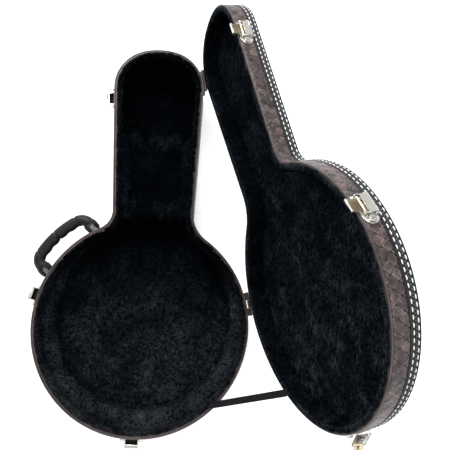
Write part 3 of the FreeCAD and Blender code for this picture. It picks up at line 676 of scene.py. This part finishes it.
def rim_binding(half):
    """Vinyl that caps the rim, with two seam lines along its top and a flange inside the wall."""
    width, foot, groove = BINDING_WIDTH / MM, -BINDING_FLANGE / MM, -0.7
    band = [
        (1, -1.3), (-0.5, -1.3), (-0.5, -0.3), (0.2, 0), (1.3, 0), (1.8, groove), (2.3, 0), (4.6, 0),
        (5.1, groove), (5.6, 0), (7.1, 0), (width + 0.25, -0.9), (width, foot), (6.3, foot), (6.3, -1.3),
    ]
    eased = rounded(band, 0.4, 2)
    section = [(inset, FROM_RIM[half](height)) for inset, height in eased]
    piece = sweep(f"{half}_rim_vinyl", section, 2.5 * MM, BINDING)
    seams = [float(height < -0.12 * MM and 1.5 * MM < inset < 5.8 * MM) for inset, height in eased]
    store(piece, "seam", np.tile(seams, len(piece.data.vertices) // len(eased)))
    settle(piece, BODIES[half], "rim_binding", f"{half}_rim_binding")


def build_shell():
    lap = 0.5 * MM
    side_cover("base", TRIM_BAND - lap, FROM_RIM["base"](-1.2 * MM))
    side_cover("lid", FROM_RIM["lid"](-1.2 * MM), LID_TOP - TRIM_BAND + lap)
    flat_cover("base", "back", 0.15 * MM, -0.7 * MM)
    flat_cover("lid", "top", LID_TOP - 0.15 * MM, 0.7 * MM)
    for half in BODIES:
        edge_trim(half)
        ribbed_strip(half)
        stitches(half)
    for half in BODIES:
        rim_binding(half)


# ---------------- plush lining and padding

TUFT_SIZE, HAIR_LENGTH, HAIR_RADIUS = 7 * MM, 7.5 * MM, 0.34 * MM
RING_OUTER, RING_SPAN, RING_RISE = 155.5 * MM, radians(284), 36 * MM
CREASE_SHADE_WIDTH, LINING_RELIEF, PAD_RELIEF = 4.5 * MM, 2.8 * MM, 2.6 * MM
# Painted light and shade on the pile: by the place along y, lighter towards the tail and nearly black up
# the neck; then how much lighter or darker each surface is painted for how it faces the light.
PAINTED_LIGHT_PLACES = np.array((-165, -60, 40, 90, 140, 200, 480)) * MM
PAINTED_LIGHT_LEVELS = (2.5, 2.3, 1.35, 0.8, 0.3, 0.3, 0.25)
LID_PAINTED_LIGHT_PLACES = np.array((-165, -80, 0, 200, 480)) * MM
LID_PAINTED_LIGHT_LEVELS = (1.9, 1.9, 1.6, 1.3, 1.5)
WALL_PAINTED_LIGHT, RING_PAINTED_LIGHT, LEDGE_PAINTED_LIGHT = 1.5, 1.7, 3.6
LID_WALL_PAINTED_SHADE = 0.45


def tufts(points, stretch, seed):
    """Uneven height of brushed pile from 0 to 1; stretch lengthens the tufts along x, y and z."""
    shift = Vector((seed * 3.1, seed * 1.7, seed * 2.3))
    scale = Vector([1 / (TUFT_SIZE * way) for way in stretch])
    out = np.empty(len(points))
    for index, (x, y, z) in enumerate(points):
        spot = Vector((x * scale.x, y * scale.y, z * scale.z)) + shift
        coarse = noise.noise(spot * 0.35)
        fine = 1 - abs(noise.noise(spot))
        finer = 1 - abs(noise.noise(spot * 2.3))
        out[index] = 0.35 * coarse + 0.45 * fine + 0.25 * finer
    return out


def painted_light_of(spots, body, painted_light_gain=1.0):
    """Painted light and shade on the pile: lit towards the tail and nearly black in the shade up the neck,
    with painted shade in the crease at the foot of the padded roll and painted light just under the rim
    towards the neck.
    """
    if body == "lid":
        return painted_light_gain * np.interp(spots[:, 1], LID_PAINTED_LIGHT_PLACES, LID_PAINTED_LIGHT_LEVELS)
    centre_way = np.hypot(spots[:, 0], spots[:, 1])
    seam = RING_OUTER - ring_width(spots[:, 1] / np.maximum(centre_way, 1 * MM))
    # Painted shade in the crease where the padded roll meets the floor.
    crease_shade = np.exp(-((centre_way - seam) / CREASE_SHADE_WIDTH) ** 2) * (spots[:, 2] < 28 * MM)
    # Painted light on the lining just under the rim towards the neck.
    rim_light = 1 + 1.8 * np.clip((spots[:, 2] - 52 * MM) / (8 * MM), 0, 1) * (spots[:, 1] > 150 * MM)
    return painted_light_gain * rim_light * np.interp(spots[:, 1], PAINTED_LIGHT_PLACES, PAINTED_LIGHT_LEVELS) * (1 - 0.5 * crease_shade)


def ring_width(sine):
    """How far the padded roll stands in from the wall, by the sine of the angle round the body."""
    return (17.5 - 8.5 * sine) * MM


def store_painted_light(piece, body, painted_light_gain=1.0):
    """Keep the painted light and shade on a piece that isn't swung open yet."""
    store(piece, "painted_light", painted_light_of(read(piece.data.vertices, "co"), body, painted_light_gain))


def needles(name, root, middle, tip, side, up, thick, shade, body, painted_light_gain=1.0):
    """Closed bent needles, one per row of the arrays, each with its own shade."""
    count = len(root)
    verts = np.empty((count, 7, 3))
    for k in range(3):
        angle = k * 2 * pi / 3
        offset = side * cos(angle) + up * sin(angle)
        verts[:, k] = root + offset * thick
        verts[:, 3 + k] = middle + offset * thick * 0.75
    verts[:, 6] = tip
    start = (np.arange(count) * 7)[:, None]
    quads = [(0, 1, 4, 3), (1, 2, 5, 4), (2, 0, 3, 5)]
    tris = [(3, 4, 6), (4, 5, 6), (5, 3, 6), (0, 2, 1)]
    faces = np.concatenate([start + q for q in quads]).tolist()
    faces += np.concatenate([start + t for t in tris]).tolist()
    piece = make_object(name, verts.reshape(-1, 3), faces, PILE)
    store(piece, "shade", np.repeat(shade, 7))
    # Painted light and shade taken at each hair's root.
    store(piece, "painted_light", np.repeat(painted_light_of(root, body, painted_light_gain) ** 0.9, 7))
    settle(piece, body, "plush")


def fibres(source, name, count, lay, seed, body, low=0.5 * MM, high=LID_TOP - 0.5 * MM, painted_light_gain=1.0):
    """Tufts of hair rooted all over a piece that isn't swung open yet, brushed along lay.

    Their tips stay between the heights low and high.
    """
    draw = np.random.default_rng(seed)
    mesh = source.data
    areas = np.empty(len(mesh.polygons))
    mesh.polygons.foreach_get("area", areas)
    centres, normals = read(mesh.polygons, "center"), read(mesh.polygons, "normal")
    areas[areas > 1e-4] = 0
    clump = np.array([noise.noise(Vector(c) * 110) + 0.6 * noise.noise(Vector(c) * 45) for c in centres])
    weight = areas * np.clip(0.45 + 1.3 * clump, 0.04, None)
    chosen = draw.choice(len(areas), count, p=weight / weight.sum())
    normal = normals[chosen]
    root = centres[chosen] + draw.normal(0, 0.8 * MM, (count, 3)) - normal * 0.6 * MM
    apart = [Vector((k * 9, 0, 0)) for k in range(3)]
    swirl = np.array([[noise.noise(Vector(c) * 30 + shift) for shift in apart] for c in centres])
    flow = np.array(lay, float) + 1.6 * swirl[chosen] + draw.normal(0, 0.4, (count, 3))
    flow -= normal * np.einsum("ij,ij->i", flow, normal)[:, None]
    flow /= np.linalg.norm(flow, axis=1)[:, None] + 1e-9
    lift = draw.uniform(0.2, 0.9, (count, 1))
    reach = HAIR_LENGTH * draw.uniform(0.5, 1.25, (count, 1))
    middle = root + (flow * 0.45 + normal * lift * 0.5) * reach
    tip = root + (flow + normal * lift * 0.5) * reach
    for spots in (root, middle, tip):
        spots[:, 2] = np.clip(spots[:, 2], low, high)
    thick = HAIR_RADIUS * draw.uniform(0.55, 1.3, (count, 1))
    shade = np.clip(draw.uniform(0, 1, count) ** 1.9 + 0.8 * clump[chosen], 0, 1)
    return needles(name, root, middle, tip, np.cross(normal, flow), normal, thick, shade, body, painted_light_gain)



# How near the outside the fluff at a rim reaches, in millimetres, and how much nearer at the hinges.
RIM_COVER = {"base": (3.2, 1.6), "lid": (0.9, 0.2)}


def rim_fringe(half, count, seed):
    """Fluff that stands out of the lining's free edge and leans over the binding."""
    body, mirror = BODIES[half], FROM_RIM[half]
    draw = np.random.default_rng(seed)
    points, normals, run = outline(1 * MM)
    spots = draw.uniform(0, OUTLINE_LENGTH, count)
    spots += 2.5 * MM * np.sin(spots / (7.3 * MM)) + 1.6 * MM * np.sin(spots / (3.1 * MM))
    spots %= OUTLINE_LENGTH
    flat, out = at_run(points, run, spots), at_run(normals, run, spots)
    hinged = np.clip((flat @ np.array(HINGE_NORMAL.xy) - 60 * MM) / (60 * MM), 0, 1)
    cover = (RIM_COVER[half][0] - RIM_COVER[half][1] * hinged) * MM
    inset = draw.uniform(7.7 * MM, 10.4 * MM, count)
    reach = cover + draw.gamma(1.3, 1.2 * MM, count)
    height = draw.uniform(-1.5 * MM, 1.2 * MM, count)

    def at(inset_now, height_now):
        ground = flat - out * inset_now[:, None]
        return np.column_stack((ground, mirror(height_now)))

    skew = draw.normal(0, 2.2 * MM, count)[:, None] * np.column_stack((-out[:, 1], out[:, 0]))
    skew = np.column_stack((skew, np.zeros(count)))
    root = at(inset, np.full(count, -5.0 * MM))
    middle = at(inset * 0.8 + reach * 0.2, height + 0.3 * MM) + 0.5 * skew
    tip = at(reach, height - 0.4 * MM * draw.uniform(0, 1, count)) + skew
    tip[:, 2] = np.where(reach < 7.6 * MM, mirror(np.maximum(height, 0.15 * MM)), tip[:, 2])
    side = np.column_stack((-out[:, 1], out[:, 0], np.zeros(count)))
    up = np.column_stack((out * 0.7, np.full(count, 0.7)))
    thick = HAIR_RADIUS * draw.uniform(0.7, 1.5, (count, 1)) * 1.15
    shade = draw.uniform(0, 1, count) ** 1.3
    needles(f"{half}_rim_fluff", root, middle, tip, side, up, thick, shade, body)


def floor_lining(half, panel, level, thickness, seed, lay):
    """Plush on the floor of the base or under the lid's top."""
    def pile(flat):
        spots = np.column_stack((flat, np.zeros(len(flat))))
        return LINING_RELIEF * (tufts(spots, (0.9, 1.8, 1), seed) - 0.5)

    name, body = f"{half}_{panel}_plush", BODIES[half]
    piece = slab(name, LINING_INNER - 2 * MM, 1.9 * MM, level, thickness, PLUSH, pile)
    store_painted_light(piece, body)
    fibres(piece, f"{name}_pile", 15000, lay, seed + 10, body)
    settle(piece, body, "plush", f"{half}_{panel}_lining")


def wall_lining(half, low, high, painted_light_gain, seed, lay):
    """Plush on the inside of the wall, thick at its free edge, which swells over the binding's flange."""
    cell, back = 2 * MM, 8.4 * MM
    rows = round((high - low) / cell)
    heights = np.linspace(low, high, rows)
    inner = [(LINING_INNER, z) for z in heights]
    way, free = (1, high) if half == "base" else (-1, low)
    lip = [(10.2, 1.6), (9.2, 2.9), (8.0, 3.2), (7.7, 2.2)]
    edge = [(inset * MM, free + way * rise * MM) for inset, rise in lip]
    if half == "base":
        section = inner + edge + [(back, high - 1 * MM), (back, low)]
    else:
        section = inner + [(back, high), (back, low + 1 * MM)] + edge[::-1]
    points, normals, _ = outline(cell)
    flat = points[:, None, :] - normals[:, None, :] * LINING_INNER
    grid = np.dstack((np.repeat(flat, rows, axis=1), np.tile(heights, (len(points), 1))))
    pile = tufts(grid.reshape(-1, 3), (1, 1, 2.0), seed).reshape(len(points), rows)

    def relief(_, row):
        out = np.zeros((len(points), len(section)))
        out[:, :rows] = 1.0 * MM - LINING_RELIEF * pile
        return out

    name, body = f"{half}_wall_plush", BODIES[half]
    piece = sweep(name, section, cell, PLUSH, relief)
    store_painted_light(piece, body, painted_light_gain)
    fibres(piece, f"{name}_pile", 12000, lay, seed + 10, body, low - 2 * MM, high + 3 * MM, painted_light_gain)
    settle(piece, body, "plush", f"{half}_wall_lining")


def build_linings():
    base_free, lid_free, lid_floor = BASE_DEPTH - 4 * MM, BASE_DEPTH + 4 * MM, LID_TOP - FLOOR_TOP
    floor_lining("base", "floor", FLOOR_TOP, 3.6 * MM, 1, (0.25, -1, 0))
    wall_lining("base", FLOOR_TOP, base_free, WALL_PAINTED_LIGHT, 2, (0, 0, -1))
    floor_lining("lid", "top", lid_floor, -3.6 * MM, 3, (-0.3, -1, 0))
    wall_lining("lid", lid_free, lid_floor, LID_WALL_PAINTED_SHADE, 4, (0, 0, 1))
    rim_fringe("base", 20000, 31)
    rim_fringe("lid", 26000, 32)


def smooth_step(value):
    value = np.clip(value, 0, 1)
    return value * value * (3 - 2 * value)


def ring_pad():
    """Padded roll round the body well: widest at the tail, and merging into the wall at its two ends."""
    stations, rows = 340, 34
    t = np.linspace(0, 1, stations)
    angle = -pi / 2 + (t - 0.5) * RING_SPAN
    end = np.minimum(t, 1 - t) * RING_SPAN * RING_OUTER
    taper = 0.06 + 0.94 * smooth_step(end / (75 * MM))
    wander = [(noise.noise(Vector((v * 19, 3, 0))), noise.noise(Vector((v * 47, 8, 0)))) for v in t]
    swell = 1 + np.array(wander) @ (0.07, 0.05)
    width = ring_width(np.sin(angle)) * taper * swell
    rise = RING_RISE * (0.35 + 0.65 * taper) * swell
    turn = np.linspace(0, pi / 2, rows - 1)
    inward = np.append(np.cos(turn) ** 0.8, 0.0)
    upward = np.append(np.sin(turn) ** 0.9, 0.0)
    centre = np.column_stack((np.cos(angle), np.sin(angle)))
    radius = RING_OUTER - width[:, None] * inward[None, :]
    grid = np.empty((stations, rows, 3))
    grid[:, :, :2] = centre[:, None, :] * radius[..., None]
    grid[:, :, 2] = FLOOR_TOP - 0.5 * MM + rise[:, None] * upward[None, :]
    pile = tufts(grid.reshape(-1, 3), (1, 1, 1.6), 5).reshape(stations, rows)
    push = PAD_RELIEF * (pile - 0.5)[:, :-1]
    grid[:, :-1, :2] -= centre[:, None, :] * (push * np.cos(turn))[..., None]
    grid[:, :-1, 2] += push * np.sin(turn)
    faces = [(face[0], *face[:0:-1]) for face in tube(stations, rows)]
    piece = make_object("body_ring_roll", grid.reshape(-1, 3), faces, PLUSH)
    store_painted_light(piece, "root", RING_PAINTED_LIGHT)
    fibres(piece, "body_ring_pile", 14000, (0, 0, -1), 15, "root", FLOOR_TOP - 1 * MM, painted_light_gain=RING_PAINTED_LIGHT)
    settle(piece, "root", "plush", "body_ring_pad")


def cushion(name, node, soften, cell, seed, hairs):
    """Plush pad in the space of a CAD solid: remeshed, its corners relaxed, its surface given a tufted pile
    relief.
    """
    piece, mesh = remeshed(name, node, PLUSH, cell, soften)
    spots, normals = read(mesh.vertices, "co"), read(mesh.vertices, "normal")
    push_out(mesh, spots, normals, PAD_RELIEF * (tufts(spots, (0.9, 1.6, 1.6), seed) - 0.5))
    store_painted_light(piece, "root")
    fibres(piece, f"{name}_pile", hairs, (0.2, -1, -0.3), seed + 20, "root", FLOOR_TOP)
    settle(piece, "root", "plush", node)


LEDGE_HEIGHT = 49
LEDGES = (
    # name, then in millimetres from x, to x and y, then the way along y and the number of hairs
    ("neck_head_fluff_left", -50, -14, 298, 1, 1100), ("neck_head_fluff_right", -2, 48, 296, 1, 1300),
    ("neck_tail_fluff_left", -46, -20, 190, -1, 900), ("neck_tail_fluff_right", 8, 58, 188, -1, 1500),
)


def ledge_fluff(name, start, end, y, way, count, seed):
    """Brushed-up tufts along an end of the neck block, painted light so that they look lit."""
    draw = np.random.default_rng(seed)
    across = draw.uniform(start, end, count)
    lump = 4 * np.sin(across / 5.3) + 2.5 * np.sin(across / 2.1)
    root = np.column_stack((across, y + lump + draw.normal(0, 5, count), np.full(count, LEDGE_HEIGHT))) * MM
    aside = 0.5 * np.sin(across / 7) + draw.normal(0, 0.35, count)
    lean = unit(np.column_stack((aside, way * draw.uniform(0.3, 1, count), draw.uniform(0.1, 0.7, count))))
    reach = HAIR_LENGTH * draw.uniform(0.7, 1.4, (count, 1))
    middle = root + lean * reach * 0.5 + np.array((0, 0, 1)) * reach * 0.15
    tip = root + lean * reach
    side = unit(np.cross(lean, (0, 0, 1)))
    thick = HAIR_RADIUS * draw.uniform(0.7, 1.3, (count, 1))
    shade = draw.uniform(0, 1, count) ** 1.4
    needles(name, root, middle, tip, side, np.cross(side, lean), thick, shade, "root", LEDGE_PAINTED_LIGHT)


def build_padding():
    for seed, ledge in enumerate(LEDGES):
        ledge_fluff(*ledge, 41 + seed)
    ring_pad()
    cushion("neck_block_plush", "neck_block", 12, 2.2 * MM, 6, 7000)
    cushion("neck_side_plush_left", "neck_side_pad_left", 9, 1.6 * MM, 7, 2200)
    cushion("neck_side_plush_right", "neck_side_pad_right", 9, 1.6 * MM, 8, 2200)


# ---------------- webbing stay

def polar(radius, degrees, height):
    turn = radians(degrees)
    return Vector((radius * cos(turn), radius * sin(turn), height))


STAY_WIDTH, STAY_THICK = 11 * MM, 1.2 * MM
STAY_BASE_ANGLE, STAY_LID_ANGLE = -46.5, -41


def build_stay():
    """Flat woven strap that holds the lid: up out of the lining, across the gap, and into the lid."""
    ribs, stations = 11, 150
    profile = ((156.6, 14), (156.6, 6), (156.9, 0.6), (159, -1.4))
    base = [polar(r * MM, STAY_BASE_ANGLE, BASE_DEPTH - depth * MM) for r, depth in profile]
    lid = [polar(r * MM, STAY_LID_ANGLE, BASE_DEPTH + depth * MM) for r, depth in profile[::-1]]
    lid = [LID_POSE @ spot for spot in lid]
    knots = base + lid
    lengths = np.concatenate(([0.0], np.cumsum([(b - a).length for a, b in zip(knots, knots[1:])])))
    coarse = np.array(knots)
    where = np.linspace(0, lengths[-1], stations)
    spine = np.column_stack([np.interp(where, lengths, coarse[:, k]) for k in range(3)])
    for _ in range(14):
        spine[1:-1] = (spine[:-2] + 2 * spine[1:-1] + spine[2:]) / 4
    tangent = unit(np.gradient(spine, axis=0))
    first, last = polar(1, STAY_BASE_ANGLE + 90, 0), LID_POSE.to_3x3() @ polar(1, STAY_LID_ANGLE + 90, 0)
    turn = smooth_step(np.linspace(0, 1, stations))[:, None]
    across = np.array(tuple(first)) * (1 - turn) + np.array(tuple(last)) * turn
    across = unit(across - tangent * np.einsum("ij,ij->i", across, tangent)[:, None])
    up = np.cross(tangent, across)
    verts = []
    for k in range(stations):
        for face in (1, -1):
            for j in range(ribs) if face > 0 else range(ribs - 1, -1, -1):
                aside = j / (ribs - 1) - 0.5
                texture = 0.18 * MM * ((j + k // 2) % 2) + 0.25 * MM * (abs(aside) > 0.45)
                lift = face * (0.5 * STAY_THICK - texture)
                verts.append(spine[k] + across[k] * aside * STAY_WIDTH + up[k] * lift)
    piece = make_object("stay_webbing", verts, tube(stations, 2 * ribs), WEBBING)
    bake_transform(piece)
    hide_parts("stay_strap", "stay_tab_base", "stay_tab_lid")


# ---------------- hardware

def softened(name, node, width, look, body, slot):
    """A CAD part with its edges eased, as pressed and tumbled metal has."""
    mesh = bmesh.new()
    mesh.from_mesh(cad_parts[node].data)
    bmesh.ops.remove_doubles(mesh, verts=mesh.verts, dist=0.01 * MM)
    bmesh.ops.dissolve_limit(mesh, angle_limit=radians(2), verts=mesh.verts, edges=mesh.edges)
    piece = from_bmesh(name, mesh, look)
    bevel = piece.modifiers.new("bevel", "BEVEL")
    bevel.width, bevel.segments, bevel.limit_method = width, 3, "ANGLE"
    bevel.angle_limit = radians(35)
    bevel.harden_normals = True
    baked(piece)
    settle(piece, body, slot, node, drawn_open=True)
    return piece


def wall_place(spot, turn, height=BASE_DEPTH):
    """Frame on the outside of the wall: x along it, y outwards, z up."""
    return Matrix.Translation((*spot, height)) @ Matrix.Rotation(turn - pi / 2, 4, "Z")


def on_body(degrees, height=BASE_DEPTH):
    spot = polar(BODY_RADIUS, degrees, height)
    return wall_place(spot.xy, radians(degrees), height)


KEEPER_PLACES = {
    "head": wall_place((wall_x(-1, 367 * MM), 367 * MM), pi + NECK_SPLAY),
    "body": on_body(165), "tail": on_body(268),
}
GRIP_PLACE = on_body(136, 42 * MM)
POST_HALF, FORK_REACH = 49.4 * MM, 14 * MM
FINGER_PITCH, FINGER_DEPTH = 16.5 * MM, 1.3 * MM
MOULD_SEAMS, SEAM_DEPTH, SEAM_WIDTH = (-39 * MM, 0.0, 39 * MM), 1.5 * MM, 1.1 * MM


def build_grip():
    """Moulded grip: finger hollows on its inner side, mould seams, and swollen forked ends."""
    piece, mesh = remeshed("grip_moulded", "handle_grip", GRIP, 0.8 * MM, 4)
    mesh.transform(GRIP_PLACE.inverted())
    spots, normals = read(mesh.vertices, "co"), read(mesh.vertices, "normal")
    x, reach = spots[:, 0], spots[:, 1]
    inner = np.clip(-normals[:, 1], 0, 1) * (reach > FORK_REACH)
    hollows = 0.5 + 0.5 * np.cos(x / FINGER_PITCH * 2 * pi)
    depth = -FINGER_DEPTH * hollows * inner * smooth_step((42 * MM - np.abs(x)) / (8 * MM))
    for seam in MOULD_SEAMS:
        depth -= SEAM_DEPTH * np.exp(-((x - seam) / SEAM_WIDTH) ** 2) * (reach > FORK_REACH)
    lobe = smooth_step((17 * MM - reach) / (7 * MM)) * (np.abs(np.abs(x) - POST_HALF) > 5 * MM)
    push_out(mesh, spots, normals, depth + 1.6 * MM * lobe)
    mesh.transform(GRIP_PLACE)
    settle(piece, "handle", "grip_moulding", "handle_grip")


def repaint(piece, place, choose, *looks):
    """Add looks, and choose each face's by where its centre lies on the wall, in millimetres."""
    for look in looks:
        piece.data.materials.append(look)
    inward = place.inverted()
    for face in piece.data.polygons:
        face.material_index = choose(*(inward @ face.center / MM))


def keeper_look(x, y, z):
    """The inside of a keeper's box is painted black as shade."""
    return int(abs(x) < 8.9 and 1.1 < y < 8.3 and -12 < z < -3.9)


def hasp_look(x, _, z):
    """The hollow of the hasp's tongue is dull and brown between its bright edges."""
    return 2 if z < -7.5 or abs(x) > 7.6 else int(z < -1)


def build_hardware():
    for name in ("left", "right"):
        bracket = f"handle_bracket_{name}"
        softened(f"bracket_cast_{name}", bracket, 0.7 * MM, BRACKET, "root", "handle_bracket")
    for name, place in KEEPER_PLACES.items():
        keeper = softened(f"keeper_plated_{name}", f"keeper_{name}", 0.35 * MM, NICKEL, "root", "nickel")
        repaint(keeper, place, keeper_look, SHADE_BLACK)
        softened(f"latch_plated_{name}", f"latch_plate_{name}", 0.35 * MM, NICKEL, "lid", "nickel")
        softened(f"lever_plated_{name}", f"latch_lever_{name}", 0.3 * MM, NICKEL, f"lever_{name}", "nickel")
        node, body, slot = f"latch_hasp_{name}", f"hasp_{name}", "hasp_warm_nickel"
        hasp = softened(f"hasp_plated_{name}", node, 0.3 * MM, WARM_NICKEL, body, slot)
        if name != "tail":
            repaint(hasp, LID_POSE @ place, hasp_look, TARNISH, NICKEL)


# A CAD node has the look of the first of these words that its name holds.
CAD_LOOKS = (
    (PLYWOOD, "side_wall back_panel top_panel"), (BOARD, "backing_board"), (HINGE_SHADE, "hinge"),
    (KEY_PLUG, "key_plug"), (NICKEL, "keeper latch_plate latch_lever rivets"),
    (WARM_NICKEL, "latch_hasp"), (STEEL, "lever_pin hasp_pin handle_core handle_pins"),
    (GRIP, "handle_grip"), (BRACKET, "handle_bracket"), (WEBBING, "stay_strap"), (SHADE_BLACK, "stay_tab"),
    (LEATHERETTE, "cover"), (TRIM, "edge_trim"), (BINDING, "rim_binding"),
    (PLUSH, "lining pad neck_block"),
)


def paint_cad_nodes():
    """Give every carried-over CAD node the material of its kind."""
    for node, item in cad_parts.items():
        look = next(look for look, parts in CAD_LOOKS if any(part in node for part in parts.split()))
        item.data.materials.clear()
        item.data.materials.append(look)


# ---------------- floor, light and camera

def build_studio():
    look = Look("studio_floor", Roughness=0.9, Emission_Color=(1, 1, 1, 1), Emission_Strength=0.45)
    speckle = look.noise(30, 3)
    look.tint(speckle, (0.3, (0.90, 0.90, 0.90)), (0.7, (0.93, 0.93, 0.93)))
    half = 6.0
    corners = [(-half, -half, 0), (half, -half, 0), (half, half, 0), (-half, half, 0)]
    floor = make_object("studio_floor", corners, [(0, 1, 2, 3)], look.material)
    world = bpy.data.worlds.new("studio")
    bpy.context.scene.world = world
    world.use_nodes = True
    sky = world.node_tree.nodes["Background"].inputs
    sky["Color"].default_value = (1.0, 1.0, 1.0, 1)
    sky["Strength"].default_value = 0.8
    aim = Vector((0.05, 0.12, 0.05))
    lamps = [("key", (-0.25, 1.55, 1.35), 34, 0.9), ("fill", (1.2, -0.7, 1.6), 10, 1.4)]
    for name, spot, power, size in lamps:
        data = bpy.data.lights.new(name, "AREA")
        data.energy, data.size = power, size
        lamp = linked(name, data)
        lamp.location = spot
        lamp.rotation_euler = (aim - Vector(spot)).to_track_quat("-Z", "Y").to_euler()


def build_camera():
    """Camera above the open case, looking almost straight down and a little towards the head."""
    eye = Vector((0.0853, 0.0293, 0.8352))
    aim = Vector((0.1257, 0.1596, 0.068))
    level = Vector((0.998, 0.021, 0.056))
    back = (eye - aim).normalized()
    right = (level - back * level.dot(back)).normalized()
    upward = back.cross(right)
    data = bpy.data.cameras.new("camera")
    data.lens, data.sensor_width = 39.03, 36
    camera = linked("camera", data)
    camera.matrix_world = Matrix.Translation(eye) @ Matrix((right, upward, back)).transposed().to_4x4()
    bpy.context.scene.camera = camera


build_camera()
build_studio()
paint_cad_nodes()
build_shell()
build_linings()
build_padding()
build_stay()
build_grip()
build_hardware()

bpy.context.scene.view_settings.view_transform = "Standard"
